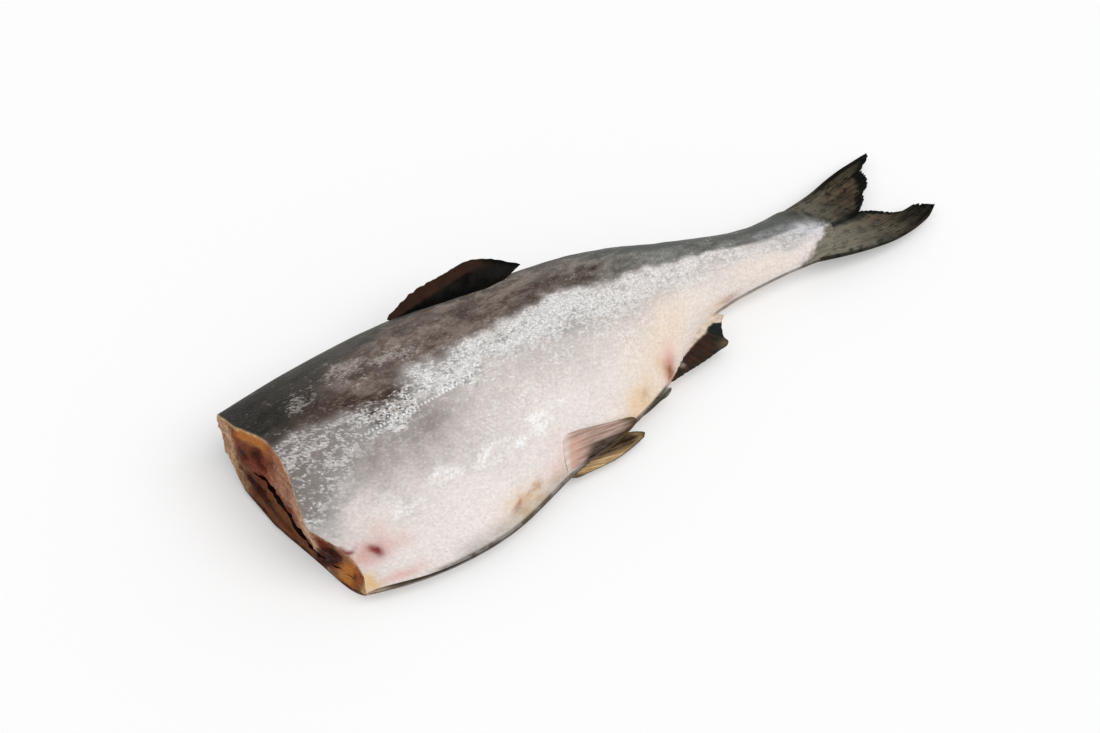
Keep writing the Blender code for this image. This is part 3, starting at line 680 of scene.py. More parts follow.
def flank_masks(points, x, true_share, upper):
    """Where the skin's colours lie, from the place along the fish and the share across it.
    Each mask is a product or a sum of eases, hills and ovals of the two, with an uneven border."""
    high, low = np.interp(x, BAND_X, BAND_HIGH), np.interp(x, BAND_X, BAND_LOW)
    wobble = 0.022 * unevenness(points, 0.030, 81) + 0.014 * unevenness(points, 0.009, 82)
    share = true_share + wobble * window(true_share, 0.0, 0.1, 0.9, 1.0)
    soft = 0.02 + 0.08 * ease(x, 0.10, 0.22) + 0.06 * (1 - ease(x, 0.01, 0.05))
    band = window(share, low - soft, low + soft, high - 0.05, high + 0.08)
    rear = ease(x, 0.15, 0.25)
    back = ease(share - high, -0.03, 0.04)
    fore = (1 - ease(x, -0.005, 0.036 + 0.038 * ease(share, 0.38, 0.50))) * ease(share, 0.18, 0.38)
    under_line = hill(share, 0.405, 0.062) + 0.55 * hill(share, 0.28, 0.10)
    fore = np.maximum(fore, 0.62 * under_line * window(x, 0.012, 0.040, 0.066, 0.104))
    low_line = np.interp(x, (0.0, 0.095, 0.135), (0.215, 0.206, 0.155))
    strokes = unevenness(points * (0.35, 1.0, 1.0), 0.0055, 84)
    low_band = hill(share, low_line, 0.036) * window(x, 0.010, 0.030, 0.120, 0.150)
    low_band = low_band * np.clip(0.42 + 0.75 * strokes, 0, 1)
    corner = ovals(x, share, CORNER_OVAL)
    dark = ease(share - np.interp(x, DARK_X, DARK_SHARE), -0.07, 0.05) + 0.6 * corner
    # The silver band is the skin's own silver with its sheen painted in; sparkle, core and shine place
    # painted glints, bright scales laid in the colour
    sparkle = ovals(x, share, SPARKLE_OVALS) + 0.02 + 0.10 * ease(x, 0.055, 0.09)
    core = hill(share, 0.530, 0.040) * window(x, 0.064, 0.082, 0.105, 0.135)
    fill = np.interp(x, BAND_X, BAND_FILL) * (1 - 0.16 * window(x, 0.05, 0.07, 0.10, 0.12))
    silver = np.clip(np.maximum(np.clip(band * fill, 0, 1), core) + 0.9 * low_band, 0, 1)
    silver = np.maximum(silver, back * sparkle) * (1 - 0.75 * np.clip(corner, 0, 1))
    silver = silver + 0.35 * (1 - np.clip(band + back + low_band, 0, 1))
    calm = (0.20 + 0.30 * ease(x, 0.06, 0.11)) * ease(share, 0.12, 0.3)
    shine = band * (0.58 + 0.30 * ease(x, 0.03, 0.06))
    shine = shine * (1 - 0.20 * rear) * (1 - 0.8 * ease(x, 0.27, 0.31))

    # Painted shadow along the lower edges: a dark line along the belly's edge, behind the anal fin and
    # along the wrist's lower edge, and a broader painted shade towards the belly's edge
    girth = girth_of(points)
    behind_fin = ease(girth, *((0.0012, 0.0003) if upper else (0.0034, 0.0012)))
    under = ease(girth, *((0.0030, 0.0004) if upper else (0.0120, 0.0050)))
    under = under * ease(x, *((0.030, 0.050) if upper else (0.003, 0.010)))
    under = under * (1 - ease(x, 0.196, 0.204)) + 0.8 * behind_fin * ease(x, 0.248, 0.256)
    if upper:
        under = under + ease(girth, 0.0034, 0.0012) * window(x, 0.168, 0.174, 0.192, 0.200)
    broad_edge_shade = 0.38 * ease(girth, 0.013, 0.003) * window(x, 0.045, 0.06, 0.12, 0.14)
    past = x - np.interp(true_share, END_SHARE, END_X)
    past = past + 0.0020 * unevenness(points, 0.010, 83) + 0.0012 * unevenness(points, 0.0035, 86)
    end_dark = 0.9 * ease(true_share, 0.40, 0.50) * (0.85 + 0.15 * unevenness(points, 0.006, 85))
    from_line = true_share - np.interp(x, LATERAL_X, LATERAL_SHARE)
    masks = {name: ovals(x, share, rows) for name, rows in FLANK_OVALS.items()}
    masks["dark"] = masks["dark"] + dark
    masks["silver"] = silver
    masks["shine"] = np.maximum.reduce([shine, 0.62 * back, low_band, calm])
    masks["gap"] = band * (1 - 0.75 * rear) + 0.12 * low_band
    # the edge mask: painted shadow and painted shade along the lower edges
    masks["edge"] = under + broad_edge_shade
    masks["end_dark"] = end_dark
    return {
        **{name: np.clip(mask, 0, 1) for name, mask in masks.items()},
        "back": back,
        "fore": fore,
        "rear": rear,
        "belly": (1 - ease(share, 0.10, 0.36)) * ease(x, -0.02, 0.03),
        "lilac": ease(x, 0.286, 0.314) * window(share, 0.18, 0.34, 0.56, 0.74),
        "scales_end": ease(past / (1 + 1.6 * ease(true_share, 0.50, 0.66)), -0.0032, 0.0042),
        "line": from_line * (back_y(x) - belly_y(x)) * 100,
    }


def girth_shares():
    """Shares across a section, from the belly edge to the back edge, closer near both edges."""
    return 0.5 - 0.5 * np.cos(math.pi * np.arange(GIRTH_STEPS + 1) / GIRTH_STEPS)


def skin_patch(upper):
    """The upper or the lower skin, from the cut to the wrist, with the flank's gentle relief: the
    section's height and place, plus an uneven swell less the lateral line's groove."""
    share = girth_shares()
    start = np.interp(share, CUT_SHARE, CUT_TOP_X if upper else CUT_LOW_X)
    slit_part = (VENT_X - start[0]) / (STATION_X[-1] - start[0])
    along = np.concatenate(
        [np.linspace(0, slit_part, SLIT_STEPS + 1), np.linspace(slit_part, 1, REAR_STEPS + 1)[1:]]
    )[:, None]
    x = start + (STATION_X[-1] - start) * along
    share = np.broadcast_to(share, x.shape)
    z = top_z(x, share) if upper else low_z(x, share)
    y = across(x, share)
    near_lip = np.clip(1 - share / LIP_SHARE, 0, 1)
    gap = ROOM_PROFILE[0] * np.interp(x, CAVITY_ROOM_X, CAVITY_ROOM) * np.clip((VENT_X - x) / 0.012, 0, 1)
    z = z + near_lip * gap / 2 * (1 if upper else -1)
    if upper:
        pull = LIP_PULL * spline(LIP_PULL_X, LIP_PULL_PART)(x) * (1 - ease(share, 0, LIP_PULL_SHARE))
        y = y + pull
        z = z + 0.35 * pull
    points = np.stack([x, y, z], axis=-1)
    inner = window(share, 0.0, 0.05, 0.96, 1.0)
    resting = 1.0 if upper else ease(z, 0.0, 0.004)
    swell = 0.00030 * unevenness(points, 0.045, 3) + 0.00012 * unevenness(points, 0.012, 4)
    line = np.interp(x, LATERAL_X, LATERAL_SHARE)
    groove = -LATERAL_GROOVE[0] * hill(share, line, LATERAL_GROOVE[1]) * ease(x, 0.02, 0.05)
    normal = normals_of(points)
    normal *= np.sign(normal[..., 2:]) * (1 if upper else -1)
    points = points + normal * ((swell + groove) * inner * resting)[..., None]
    girth = girth_of(points)
    uv = np.stack([points[..., 0], girth if upper else -girth], axis=-1)
    return Patch(points, uv, flank_masks(points, x, share, upper), SKIN)


def lining_height(x, share):
    """The height of the middle of the cavity: a share of the way from underside to upper flank."""
    low, high = low_z(x, share), top_z(x, share)
    return low + (high - low) * spline(CAVITY_SHARE, CAVITY_HEIGHT)(share)


def cavity_room(x, along):
    """How far apart the cavity's walls are: the room there, times the profile across."""
    return np.interp(x, CAVITY_ROOM_X, CAVITY_ROOM) * spline(ROOM_AT, ROOM_PROFILE)(along)


def cut_and_lining(upper_skin, lower_skin):
    """The cut face's two halves and the cavity's two walls, fitted to the skins' borders. Each half
    runs in straight lines from the skin's border to the slit or, past it, to the halves' seam, and
    is hollowed by a parabola and roughened."""
    share = girth_shares()
    end = LINING_STEPS
    along = np.minimum(share / share[end], 1.0)
    reach = float(spline(CAVITY_REACH_X, CAVITY_REACH)(0.0))
    inner_share = np.where(
        np.arange(GIRTH_STEPS + 1) <= end,
        reach * along,
        reach + (1 - reach) * (share - share[end]) / (1 - share[end]),
    )
    face_x = np.interp(inner_share, CUT_SHARE, (np.array(CUT_TOP_X) + np.array(CUT_LOW_X)) / 2)
    room = cavity_room(face_x, along)
    room[end:] = 0.0
    high, low = top_z(face_x, inner_share), low_z(face_x, inner_share)
    middle = lining_height(face_x, np.minimum(inner_share, CAVITY_SHARE[-1]))
    straight = middle + ((low + high) / 2 - middle) * ease(inner_share, reach, 1.0)
    middle = np.where(inner_share > reach, straight, middle)
    down = np.linspace(0, 1, FACE_STEPS + 1)[:, None]
    faces, rims = [], []
    for skin, side in ((upper_skin, 1), (lower_skin, -1)):
        border = skin.points[0]
        inner_z = middle + side * room / 2
        reached = np.clip((high - inner_z) / np.maximum(high - low, 1e-6), 0, 1)
        part = reached * down if side > 0 else 1 - (1 - reached) * down
        here = share + (inner_share - share) * down
        hollow = CUT_HOLLOW * np.interp(here, HOLLOW_SHARE, HOLLOW_DEPTH)
        x_high, x_low = np.interp(here, CUT_SHARE, CUT_TOP_X), np.interp(here, CUT_SHARE, CUT_LOW_X)
        x = x_high + (x_low - x_high) * part + hollow * (1 - (2 * part - 1) ** 2)
        y = border[:, 1] + (across(face_x, inner_share) - border[:, 1]) * down
        z = border[:, 2] + (inner_z - border[:, 2]) * down
        x = x + (border[:, 0] - x[0]) * (1 - down)
        points = np.stack([x, y, z], axis=-1)
        points[:, 0], points[:, -1] = border[0], border[-1]
        rough = 0.00055 * unevenness(points, 0.007, 11) + 0.00028 * unevenness(points, 0.0028, 12)
        from_skin = np.linalg.norm(points - border, axis=-1)
        points[..., 0] += rough * ease(from_skin, 0.0, 0.002) * (share > 0) * (share < 1)
        points[..., 0] = np.maximum(points[..., 0], CUT_FOREMOST)
        faces.append(Patch(points, points[..., 1:], face_masks(here, part, from_skin), FLESH))
        rims.append(points[-1, : end + 1])
    return faces + lining(upper_skin, lower_skin, rims, along[: end + 1])


def lining(upper_skin, lower_skin, rims, along):
    """The cavity's two walls, from the cut face's inner line to the vent: the cavity's middle plus
    or less half its room, with low folds, drawn to the slit's lips and to the cut's inner line."""
    lips = upper_skin.points[: SLIT_STEPS + 1, 0], lower_skin.points[: SLIT_STEPS + 1, 0]
    lip_x = lips[0][:, 0]
    progress = ((lip_x - lip_x[0]) / (VENT_X - lip_x[0]))[:, None]
    rim_x = (rims[0][:, 0] + rims[1][:, 0]) / 2
    x = rim_x + (VENT_X - rim_x) * progress
    share = along * spline(CAVITY_REACH_X, CAVITY_REACH)(x)
    room = cavity_room(x, along) * np.clip((VENT_X - x) / 0.008, 0, 1)
    room[:, -1] = 0.0
    walls = []
    for lip, rim, side, dark_from in ((lips[0], rims[0], 1, 0.030), (lips[1], rims[1], -1, 0.006)):
        points = np.stack([x, across(x, share), lining_height(x, share) + side * room / 2], axis=-1)
        folds = 0.00030 * unevenness(points, 0.008, 21) * window(along, 0.1, 0.3, 0.8, 1.0)
        points[..., 2] += folds * np.clip((VENT_X - x) / 0.03, 0, 1)
        points += (lip - points[:, 0])[:, None] * (1 - ease(along, 0.0, 0.12))[None, :, None]
        points += (rim - points[0])[None] * np.exp(-(x - x[0]) / 0.003)[..., None]
        points[0], points[:, 0] = rim, lip
        # Painted shade on the lips from here back, where the slit lies in shade
        dark_lip = ease(x, dark_from, dark_from + 0.016)
        masks = {"lip": 1 - ease(along, 0.0, 0.14) + 0 * x, "lip_rear": dark_lip}
        walls.append(Patch(points, points[..., :2], masks, LINING))
    return walls


# Ovals on the cut face: weight, place and half size across the fish and down the face, in shares
FACE_OVALS = {
    "orange": ((1.3, 0.105, 0.5, 0.036, 0.8),),
    "pale": ((0.8, 0.185, 0.92, 0.03, 0.06), (0.45, 0.76, 0.62, 0.05, 0.05)),
    "peach": ((1.1, 0.130, 0.12, 0.014, 0.16),),
    "gold": ((0.5, 0.125, 0.75, 0.012, 0.12),),
    "blood": (
        (0.85, 0.680, 0.320, 0.035, 0.07), (0.9, 0.755, 0.40, 0.022, 0.07),
        (1.9, 0.620, 0.760, 0.065, 0.055), (1.0, 0.530, 0.84, 0.06, 0.045),
        (0.9, 0.690, 0.71, 0.035, 0.05), (0.6, 0.40, 0.84, 0.06, 0.04),
        (0.5, 0.152, 0.05, 0.012, 0.10), (0.9, 0.075, 0.49, 0.009, 0.16),
    ),
}


def face_masks(share, part, from_skin):
    """Where the cut face's colours lie: part is 0 at the upper skin and 1 at the lower. Each mask
    is a sum of ovals and of products of eases and hills."""
    upper_rim = (1 - ease(from_skin, 0.0004, 0.0030)) * (1 - ease(part, 0.4, 0.6))
    orange = window(share, 0.57, 0.66, 0.76, 0.82) * (1 - ease(part, 0.12, 0.24))
    orange = orange + 0.6 * window(share, 0.28, 0.40, 0.52, 0.60) * (1 - ease(part, 0.04, 0.16))
    pale = 0.95 * ease(part + 1.1 * (share - 0.70), 0.74, 0.90) * ease(share, 0.64, 0.78)
    peach = window(share, 0.200, 0.230, 0.28, 0.44) * (1 - ease(part, 0.56, 0.72))
    peach = peach + 0.40 * window(share, 0.30, 0.40, 0.50, 0.64) * (1 - ease(part, 0.46, 0.56))
    notch = hill(share - 0.12 * (part - 0.55), 0.185, 0.030) * hill(part, 0.58, 0.40)
    blood = 3.2 * notch + 0.34 * window(share, 0.58, 0.68, 0.77, 0.83) * ease(part, 0.10, 0.24)
    under_skin = (1 - ease(from_skin, 0.0006, 0.0022)) * hill(share, 0.59, 0.06) * hill(part, 0.0, 0.3)
    masks = {
        "orange": orange,
        "pale": pale + ease(share + 0.05 * part, 0.80, 0.87),
        "peach": peach,
        "gold": (1 - ease(share, 0.020, 0.050)) + 0.9 * upper_rim * ease(share, 0.60, 0.72),
        "blood": blood + 0.5 * under_skin,
    }
    for name, mask in masks.items():
        masks[name] = np.clip(mask + ovals(share, part, FACE_OVALS[name]), 0, 1)
    masks["upper_rim"] = upper_rim
    masks["lower"] = ease(part + 0.22 * ease(share, 0.70, 0.80), 0.52, 0.70)
    # Painted shadow: a dark band along the lower half's rim, next to the skin
    near_skin = 1 - ease(from_skin, 0.0008, 0.0036)
    masks["wet"] = near_skin * ease(part, 0.5, 0.8) * (1 - ease(share, 0.66, 0.78))
    return masks


def skin_material(look):
    """Wet silvery skin: pearly flank, cream belly, brown mottled back and small bright scales with painted
    glints, and painted shadow along its lower edges.
    """
    material, nodes, shader = new_material("wet_silver_skin")
    place = nodes.first("ShaderNodeUVMap", uv_map="surface")
    spot = nodes.put("ShaderNodeTexCoord").outputs["Object"]
    mask, blend, times, vary = nodes.mask, nodes.blend, nodes.times, nodes.vary
    wide = mottle(nodes, spot, 0.030, 2.2, 0.40, 0.62)
    patch = mottle(nodes, spot, 0.011, 2.2, 0.42, 0.60)
    fine = mottle(nodes, spot, 0.0045, 1.8, 0.38, 0.66)
    grain = mottle(nodes, spot, 0.0014, 1.5, 0.30, 0.70)
    speck = mottle(nodes, spot, 0.0030, 1.4, 0.34, 0.66)
    smoke = mottle(nodes, spot, 0.007, 1.6, 0.40, 0.60)
    streaks = mottle(nodes, spot, 0.0022, 7.0, 0.42, 0.58)
    cells = {"place": place, "length": 0.0025, "width": 0.0020, "slant": 0.55, "disorder": 0.7}
    scales = nodes.group(cells_group(), **cells)
    cells = {"place": place, "length": 0.00125, "width": 0.00088, "slant": 0.30, "disorder": 0.95}
    flecks = nodes.group(cells_group(), **cells)

    # The skin under the scales
    brown = blend(patch, look.brown, look.brown_dark)
    brown = blend(mask("fore"), brown, blend(patch, look.brown_fore, look.brown_dark))
    brown = blend(nodes.ease(fine, 0.2, 1.0, 0.0, 0.62), brown, look.brown_dark)
    brown = blend(mask("rear"), brown, blend(patch, look.rear_back, look.rear_spot))
    teal = blend(mask("rear"), blend(mask("fore"), look.teal, look.teal_fore), look.rear_spot)
    ground = blend(wide, look.flank, look.flank_shade)
    ground = blend(mask("fore"), ground, blend(patch, look.fore, look.fore_shade))
    ground = nodes.lay(ground, [("belly", wide, 1.0, 0.85, look.belly)])
    ground = blend(times(mask("cream"), 0.9), ground, look.cream)
    ground = blend(times(mask("gap"), 0.85), ground, blend(mask("fore"), look.gap, look.gap_fore))
    layers = [("back", fine, 0.92, 1.0, brown), ("streak", fine, 0.7, 1.0, look.streak)]
    ground = nodes.lay(ground, layers)
    specks = nodes.ease(flecks["Tone"], 0.50, 0.0, 0.0, 0.34)
    ground = blend(times(mask("back"), specks), ground, look.brown_dark)
    specks = nodes.ease(flecks["Tint"], 0.75, 1.0, 0.0, 0.22)
    ground = blend(times(mask("back"), specks), ground, look.dull_silver)
    lilac = blend(patch, look.lilac, look.lilac_dark)
    ground = nodes.lay(ground, [("dark", patch, 0.80, 1.0, teal), ("lilac", smoke, 0.30, 0.95, lilac)])
    ground = blend(nodes.ease(flecks["Tint"], 0.50, 0.0, 0.0, 0.10), ground, look.scale_gap)

    # The bright scales, painted glints on the skin's own silver, in clumps where the silver mask is high,
    # and the dark gaps between scales
    clump = times(flecks["Tone"], 0.60)
    for part, weight in ((patch, 0.30), (speck, 0.50), (mask("silver"), -1.35)):
        clump = nodes.math("MULTIPLY_ADD", part, weight, clump)
    bead = times(nodes.ease(clump, 0.20, -0.20), vary(flecks["Bead"], 0.70, 1.0))
    fleck = times(bead, times(mask("shine"), vary(flecks["Tint"], 0.55, 1.0)))
    bright = blend(flecks["Tint"], look.silver_warm, look.silver)
    bright = blend(times(mask("back"), vary(mask("rear"), 0.75, 0.35)), bright, look.dull_silver)
    colour = blend(fleck, ground, bright)
    gap = times(scales["Gap"], nodes.ease(scales["Tone"], 0.3, 0.95))
    colour = blend(times(gap, vary(mask("belly"), 0.17, 0.04)), colour, look.scale_gap)
    colour = blend(vary(grain, 0.0, 0.12), colour, look.scale_gap)

    # The lateral line's dashes
    off = nodes.math("ABSOLUTE", mask("line"))
    along = nodes.first("ShaderNodeSeparateXYZ", {0: place})
    dash = nodes.ease(nodes.math("PINGPONG", along, 0.00105), 0.0003, 0.0007)
    reach = times(nodes.ease(along, 0.034, 0.046), nodes.ease(along, 0.125, 0.085))
    dash = times(times(nodes.ease(off, 0.10, 0.035), dash), reach)
    colour = blend(times(dash, vary(fine, 0.45, 0.85)), colour, look.silver)

    # The skin on the tail fin's base, and stains over all
    fin_base = blend(times(streaks, 0.4), look.fin_base, look.fin_base_dark)
    fin_base = blend(mask("end_dark"), fin_base, look.fin_base_dark)
    colour = blend(mask("scales_end"), colour, fin_base)
    colour = blend(times(mask("pink"), 0.75), colour, look.pink)
    layers = [("gold", fine, 0.45, 0.95, look.gold), ("stain", fine, 0.6, 1.0, look.ochre)]
    colour = nodes.lay(colour, layers)
    colour = blend(mask("bruise"), colour, look.blood)
    # Painted shadow along the belly's and the wrist's lower edge, from the edge mask
    colour = nodes.lay(colour, [("edge", fine, 0.75, 0.95, look.painted_edge_shadow)])
    height = nodes.math("MULTIPLY_ADD", scales["Bead"], 0.6, grain)
    # Little real specular: the glints and sheen are painted into the colour
    finish_material(
        nodes, shader, colour, vary(fleck, 0.46, 0.30), height, 0.00014, Specular_IOR_Level=0.05
    )
    return material


def flesh_material(look):
    """The cut face: red-brown meat with orange fat under the skin, pale rims and dried blood."""
    material, nodes, shader = new_material("cut_flesh")
    spot = nodes.put("ShaderNodeTexCoord").outputs["Object"]
    coarse = mottle(nodes, spot, 0.009, 1.0, 0.40, 0.60)
    fine = mottle(nodes, spot, 0.003, 1.0, 0.35, 0.62)
    grain = mottle(nodes, spot, 0.0011, 1.0, 0.3, 0.7)
    layers = [
        ("lower", coarse, 0.95, 0.65, look.tan),
        ("orange", fine, 0.7, 1.0, look.orange),
        ("pale", fine, 1.0, 0.55, look.fat),
        ("peach", fine, 0.95, 0.7, look.peach),
        ("upper_rim", fine, 0.8, 0.3, look.peach),
        ("gold", fine, 0.95, 0.6, look.gold),
        ("blood", coarse, 0.92, 1.0, look.dried_blood),
    ]
    colour = nodes.lay(nodes.blend(coarse, look.meat, look.meat_dark), layers)
    # Painted shadow along the cut's lower rim
    colour = nodes.blend(nodes.times(nodes.mask("wet"), 0.85), colour, look.painted_rim_shadow)
    colour = nodes.blend(nodes.ease(fine, 0.55, 0.95, 0.0, 0.22), colour, look.meat_dark)
    colour = nodes.blend(nodes.vary(grain, 0.0, 0.25), colour, look.meat_dark)
    height = nodes.math("MULTIPLY_ADD", fine, 1.0, grain)
    finish_material(
        nodes, shader, colour, nodes.vary(fine, 0.30, 0.5), height, 0.0004, Specular_IOR_Level=0.05
    )
    return material


def lining_material(look):
    """The gutted cavity: tan at the slit's lips near the cut, with painted shade on the lips further back,
    and dark and bloody inside.
    """
    material, nodes, shader = new_material("cavity_lining")
    spot = nodes.put("ShaderNodeTexCoord").outputs["Object"]
    uneven = mottle(nodes, spot, 0.006, 2.0, 0.38, 0.62)
    # The lips turn to painted shade towards the tail
    lip = nodes.blend(nodes.mask("lip_rear"), look.lip, look.lip_painted_shade)
    colour = nodes.blend(nodes.mask("lip"), nodes.blend(uneven, look.lining, look.dried_blood), lip)
    finish_material(
        nodes, shader, colour, nodes.vary(uneven, 0.3, 0.5), uneven, 0.0003,
        Coat_Weight=0.1, Specular_IOR_Level=0.2,
    )
    return material


def build_trunk(skin_look, flesh_look):
    """The trunk as one closed skin: upper and lower flank, wrist, cut face and cavity."""
    upper, lower = skin_patch(True), skin_patch(False)
    down = np.linspace(0, 1, 3)[:, None, None]
    last = upper.points[-1] + (lower.points[-1] - upper.points[-1]) * down
    end = Patch(last, last[..., 1:], {mask: values[-1] for mask, values in upper.masks.items()}, SKIN)
    materials = [skin_material(skin_look), flesh_material(flesh_look), lining_material(flesh_look)]
    return piece("trunk", [upper, lower, end, *cut_and_lining(upper, lower)], materials)


# ---- Fins ----


def fin_material(name, look, rays, spots=(0.2, 0.1, 0.0), gloss=0.34, specular=0.10, streaky=0.72,
                 blotchy=0.0, waver=0.8):
    """A wet fin: colour from its root over its middle to its rim, with rays, streaks and spots.
    Spots gives their length and width and the share of places that have one."""
    material, nodes, shader = new_material(name)
    place = nodes.first("ShaderNodeUVMap", uv_map="surface")
    spot = nodes.put("ShaderNodeTexCoord").outputs["Object"]
    feeds = dict(zip(("spot_length", "spot_width", "spot_share"), spots), rays=rays, waver=waver)
    ray = nodes.group(rays_group(), place=place, **feeds)
    uneven = mottle(nodes, spot, 0.004, 1.5, 0.35, 0.65)
    streak = nodes.ease(ray["Tone"], 0.36, 0.62)
    colour = nodes.blend(streak, look.middle, look.streak)
    layers = [
        ("root", uneven, 0.75, 1.0, look.root),
        ("base", uneven, 0.8, 1.0, look.base),
        ("accent", streak, 1.0, streaky, look.accent),
    ]
    colour = nodes.lay(colour, layers)
    rim = nodes.times(nodes.mask("rim"), nodes.ease(ray["Tone"], 0.3, 0.6, 0.90, 1.0))
    spotted = nodes.times(ray["Spot"], nodes.ease(nodes.mask("root"), 0.0, 0.8, 0.9, 0.0))
    ridge = nodes.vary(ray["Ridge"], 0.10, 0.0)
    for part in (nodes.ease(uneven, 0.4, 1.0, 0.0, blotchy), rim, spotted, ridge):
        colour = nodes.blend(part, colour, look.rim)
    height = nodes.math("MULTIPLY_ADD", uneven, 0.25, ray["Ridge"])
    finish_material(nodes, shader, colour, gloss, height, 0.0003, Specular_IOR_Level=specular)
    return material


def rays_between(root, tip, steps):
    """The grid of a fin's rays: straight lines from its root line to its tip line."""
    along, outward = steps
    root, tip = route(root, along + 1), route(tip, along + 1)
    ray = np.linspace(0, 1, outward + 1)[:, None]
    return root[:, None] * (1 - ray) + tip[:, None] * ray


def fin(name, middle, thickness, material, rays, seed, ragged=0.0002, rim=(0.70, 0.98),
        root=(0.05, 0.45), accent=None, base=None, dark=None):
    """A fin round this grid of rays: its tips lengthened by an uneven fray, its thickness going
    from root to tip times the ribs' cosine, and its sheet a little wavy. Accent, base and dark
    give a mask from the place along the fin's root and the place along its rays."""
    rows, columns = middle.shape[:2]
    place, ray = np.linspace(0, 1, rows)[:, None], np.linspace(0, 1, columns)[None, :]
    outward = middle[:, -1] - middle[:, -2]
    outward /= np.maximum(np.linalg.norm(outward, axis=-1, keepdims=True), 1e-9)
    teeth = np.abs(np.sin(math.pi * rays * place)) - 1 + 0.5 * unevenness(place, 0.06, seed)[:, None]
    middle = middle + outward[:, None] * (ragged * teeth * ease(ray, 0.6, 1.0))[..., None]
    depth = thickness[0] + (thickness[1] - thickness[0]) * ray
    ribs = 1 + 0.22 * np.cos(2 * math.pi * rays * place) * ease(ray, 0.05, 0.3)
    edge = np.sqrt(np.clip(1 - (2 * place - 1) ** 8, 0.08, 1))
    waves = 0.0003 * unevenness(middle, 0.018, seed + 1) * ray
    middle = middle + normals_of(middle) * waves[..., None]
    parts = {
        "root": 1 - ease(ray, *root),
        "rim": ease(ray, *rim) + (dark(place, ray) if dark else 0.0),
        "accent": accent(place, ray) if accent else 0.0,
        "base": base(place, ray) if base else 0.0,
    }
    masks = {mask: np.broadcast_to(np.clip(part, 0, 1), (rows, columns)) for mask, part in parts.items()}
    return blade(name, middle, depth * ribs * edge, masks, material)


def on_flank(x, share, lift):
    """Points on the upper flank, raised by the lift."""
    return np.stack([x, across(x, share), top_z(x, share) + lift], axis=-1)


def build_dorsal_fin(look):
    """A folded blade: brown along its front edge, and black and streaky at its base and rear, its own dark
    colour deepened by painted shade.
    """
    root = on_flank(np.array(DORSAL_ROOT_X), np.array(DORSAL_ROOT_SHARE), -DORSAL_THICKNESS[0] / 2)
    material = fin_material("dorsal_fin_skin", look, DORSAL_RAYS, gloss=0.5, specular=0.02)

    def brown_front(place, ray):
        return ease(ray - 0.80 * place, 0.02, 0.16) * (1 - ease(place, 0.72, 0.84))

    # Painted shade: the rear tips darken to the rim's black, as on the fin's shaded side
    def black_rear(place, ray):
        return ease(ray, 0.85, 0.98) * ease(place, 0.70, 0.80)

    fin(
        "dorsal_fin", rays_between(root, DORSAL_TIP, DORSAL_STEPS), DORSAL_THICKNESS, material,
        DORSAL_RAYS, seed=31, ragged=0.0006, rim=(1.1, 1.2), accent=brown_front, dark=black_rear,
    )


def build_pelvic_fins(look, lower_look):
    """Two folded fins: the upper mauve with a dark olive tip, the lower yellow-tan, with painted shadow on
    both where they overlap.
    """
    places = rays_between(UPPER_PELVIC_ROOT, UPPER_PELVIC_TIP, UPPER_PELVIC_STEPS)
    lift = np.interp(np.linspace(0, 1, places.shape[1]), UPPER_PELVIC_RAY, UPPER_PELVIC_LIFT)
    upper = on_flank(places[..., 0], places[..., 1], lift)

    # Painted shadow between the two fins, laid in the accent colour
    def painted_shadow_streak(place, ray):
        return 1.1 * ease(place + 0.10 * ray, 0.52, 0.68) * ease(ray, 0.28, 0.46)

    def pink_root(place, ray):
        behind = ease(place + 0.5 * ray, 0.16, 0.44) * ease(ray, 0.03, 0.14)
        return (1 - ease(ray + 0.10 * place, 0.14, 0.46)) * behind

    fin(
        "upper_pelvic_fin", upper, PELVIC_THICKNESS, fin_material("pelvic_fin_skin", look, PELVIC_RAYS),
        PELVIC_RAYS, seed=41, ragged=0.0004, rim=(0.72, 1.0), root=(0.02, 0.16),
        accent=painted_shadow_streak, base=pink_root,
    )

    # The inner part is painted shadow under the upper fin; the dark outer edge is the fin's own
    def dark_sides(place, ray):
        inner = ease(place, 0.54, 0.68) * ease(ray, 0.20, 0.40) * (1 - 0.6 * ease(ray, 0.84, 0.96))
        return inner + 0.9 * (1 - ease(place, 0.06, 0.16))

    lower = rays_between(LOWER_PELVIC_ROOT, LOWER_PELVIC_TIP, LOWER_PELVIC_STEPS)
    material = fin_material("lower_pelvic_fin_skin", lower_look, PELVIC_RAYS)
    fin(
        "lower_pelvic_fin", lower, PELVIC_THICKNESS, material, PELVIC_RAYS, seed=43,
        ragged=0.0004, rim=(0.90, 1.0), accent=dark_sides,
    )


def build_anal_fin(look):
    """A dark fin, brown towards its front and with a tan corner behind."""

    def tan_corner(place, ray):
        return 0.9 * hill(place, 0.66, 0.06) * hill(ray, 1.0, 0.20)

    def skin_on_fin(place, ray):
        reach = np.interp(place, SKIN_ON_FIN_PLACE, SKIN_ON_FIN_REACH)  # as far out as the skin comes
        return 1 - ease(ray, reach - 0.04, reach + 0.06)

    def light_base(place, ray):
        return skin_on_fin(place, ray) + 0.30 * hill(place, 0.20, 0.03) * hill(ray, 0.50, 0.16)

    def dark_rear(place, ray):
        bare = (1 - skin_on_fin(place, ray)) * (1 - 0.5 * ease(ray, 0.88, 1.0))
        return 0.9 * ease(place, 0.68, 0.76) * bare

    fin(
        "anal_fin", rays_between(ANAL_ROOT, ANAL_TIP, ANAL_STEPS), ANAL_THICKNESS,
        fin_material("anal_fin_skin", look, ANAL_RAYS, specular=0.05), ANAL_RAYS, seed=51,
        rim=(0.96, 1.0), accent=tan_corner, base=light_base, dark=dark_rear,
    )


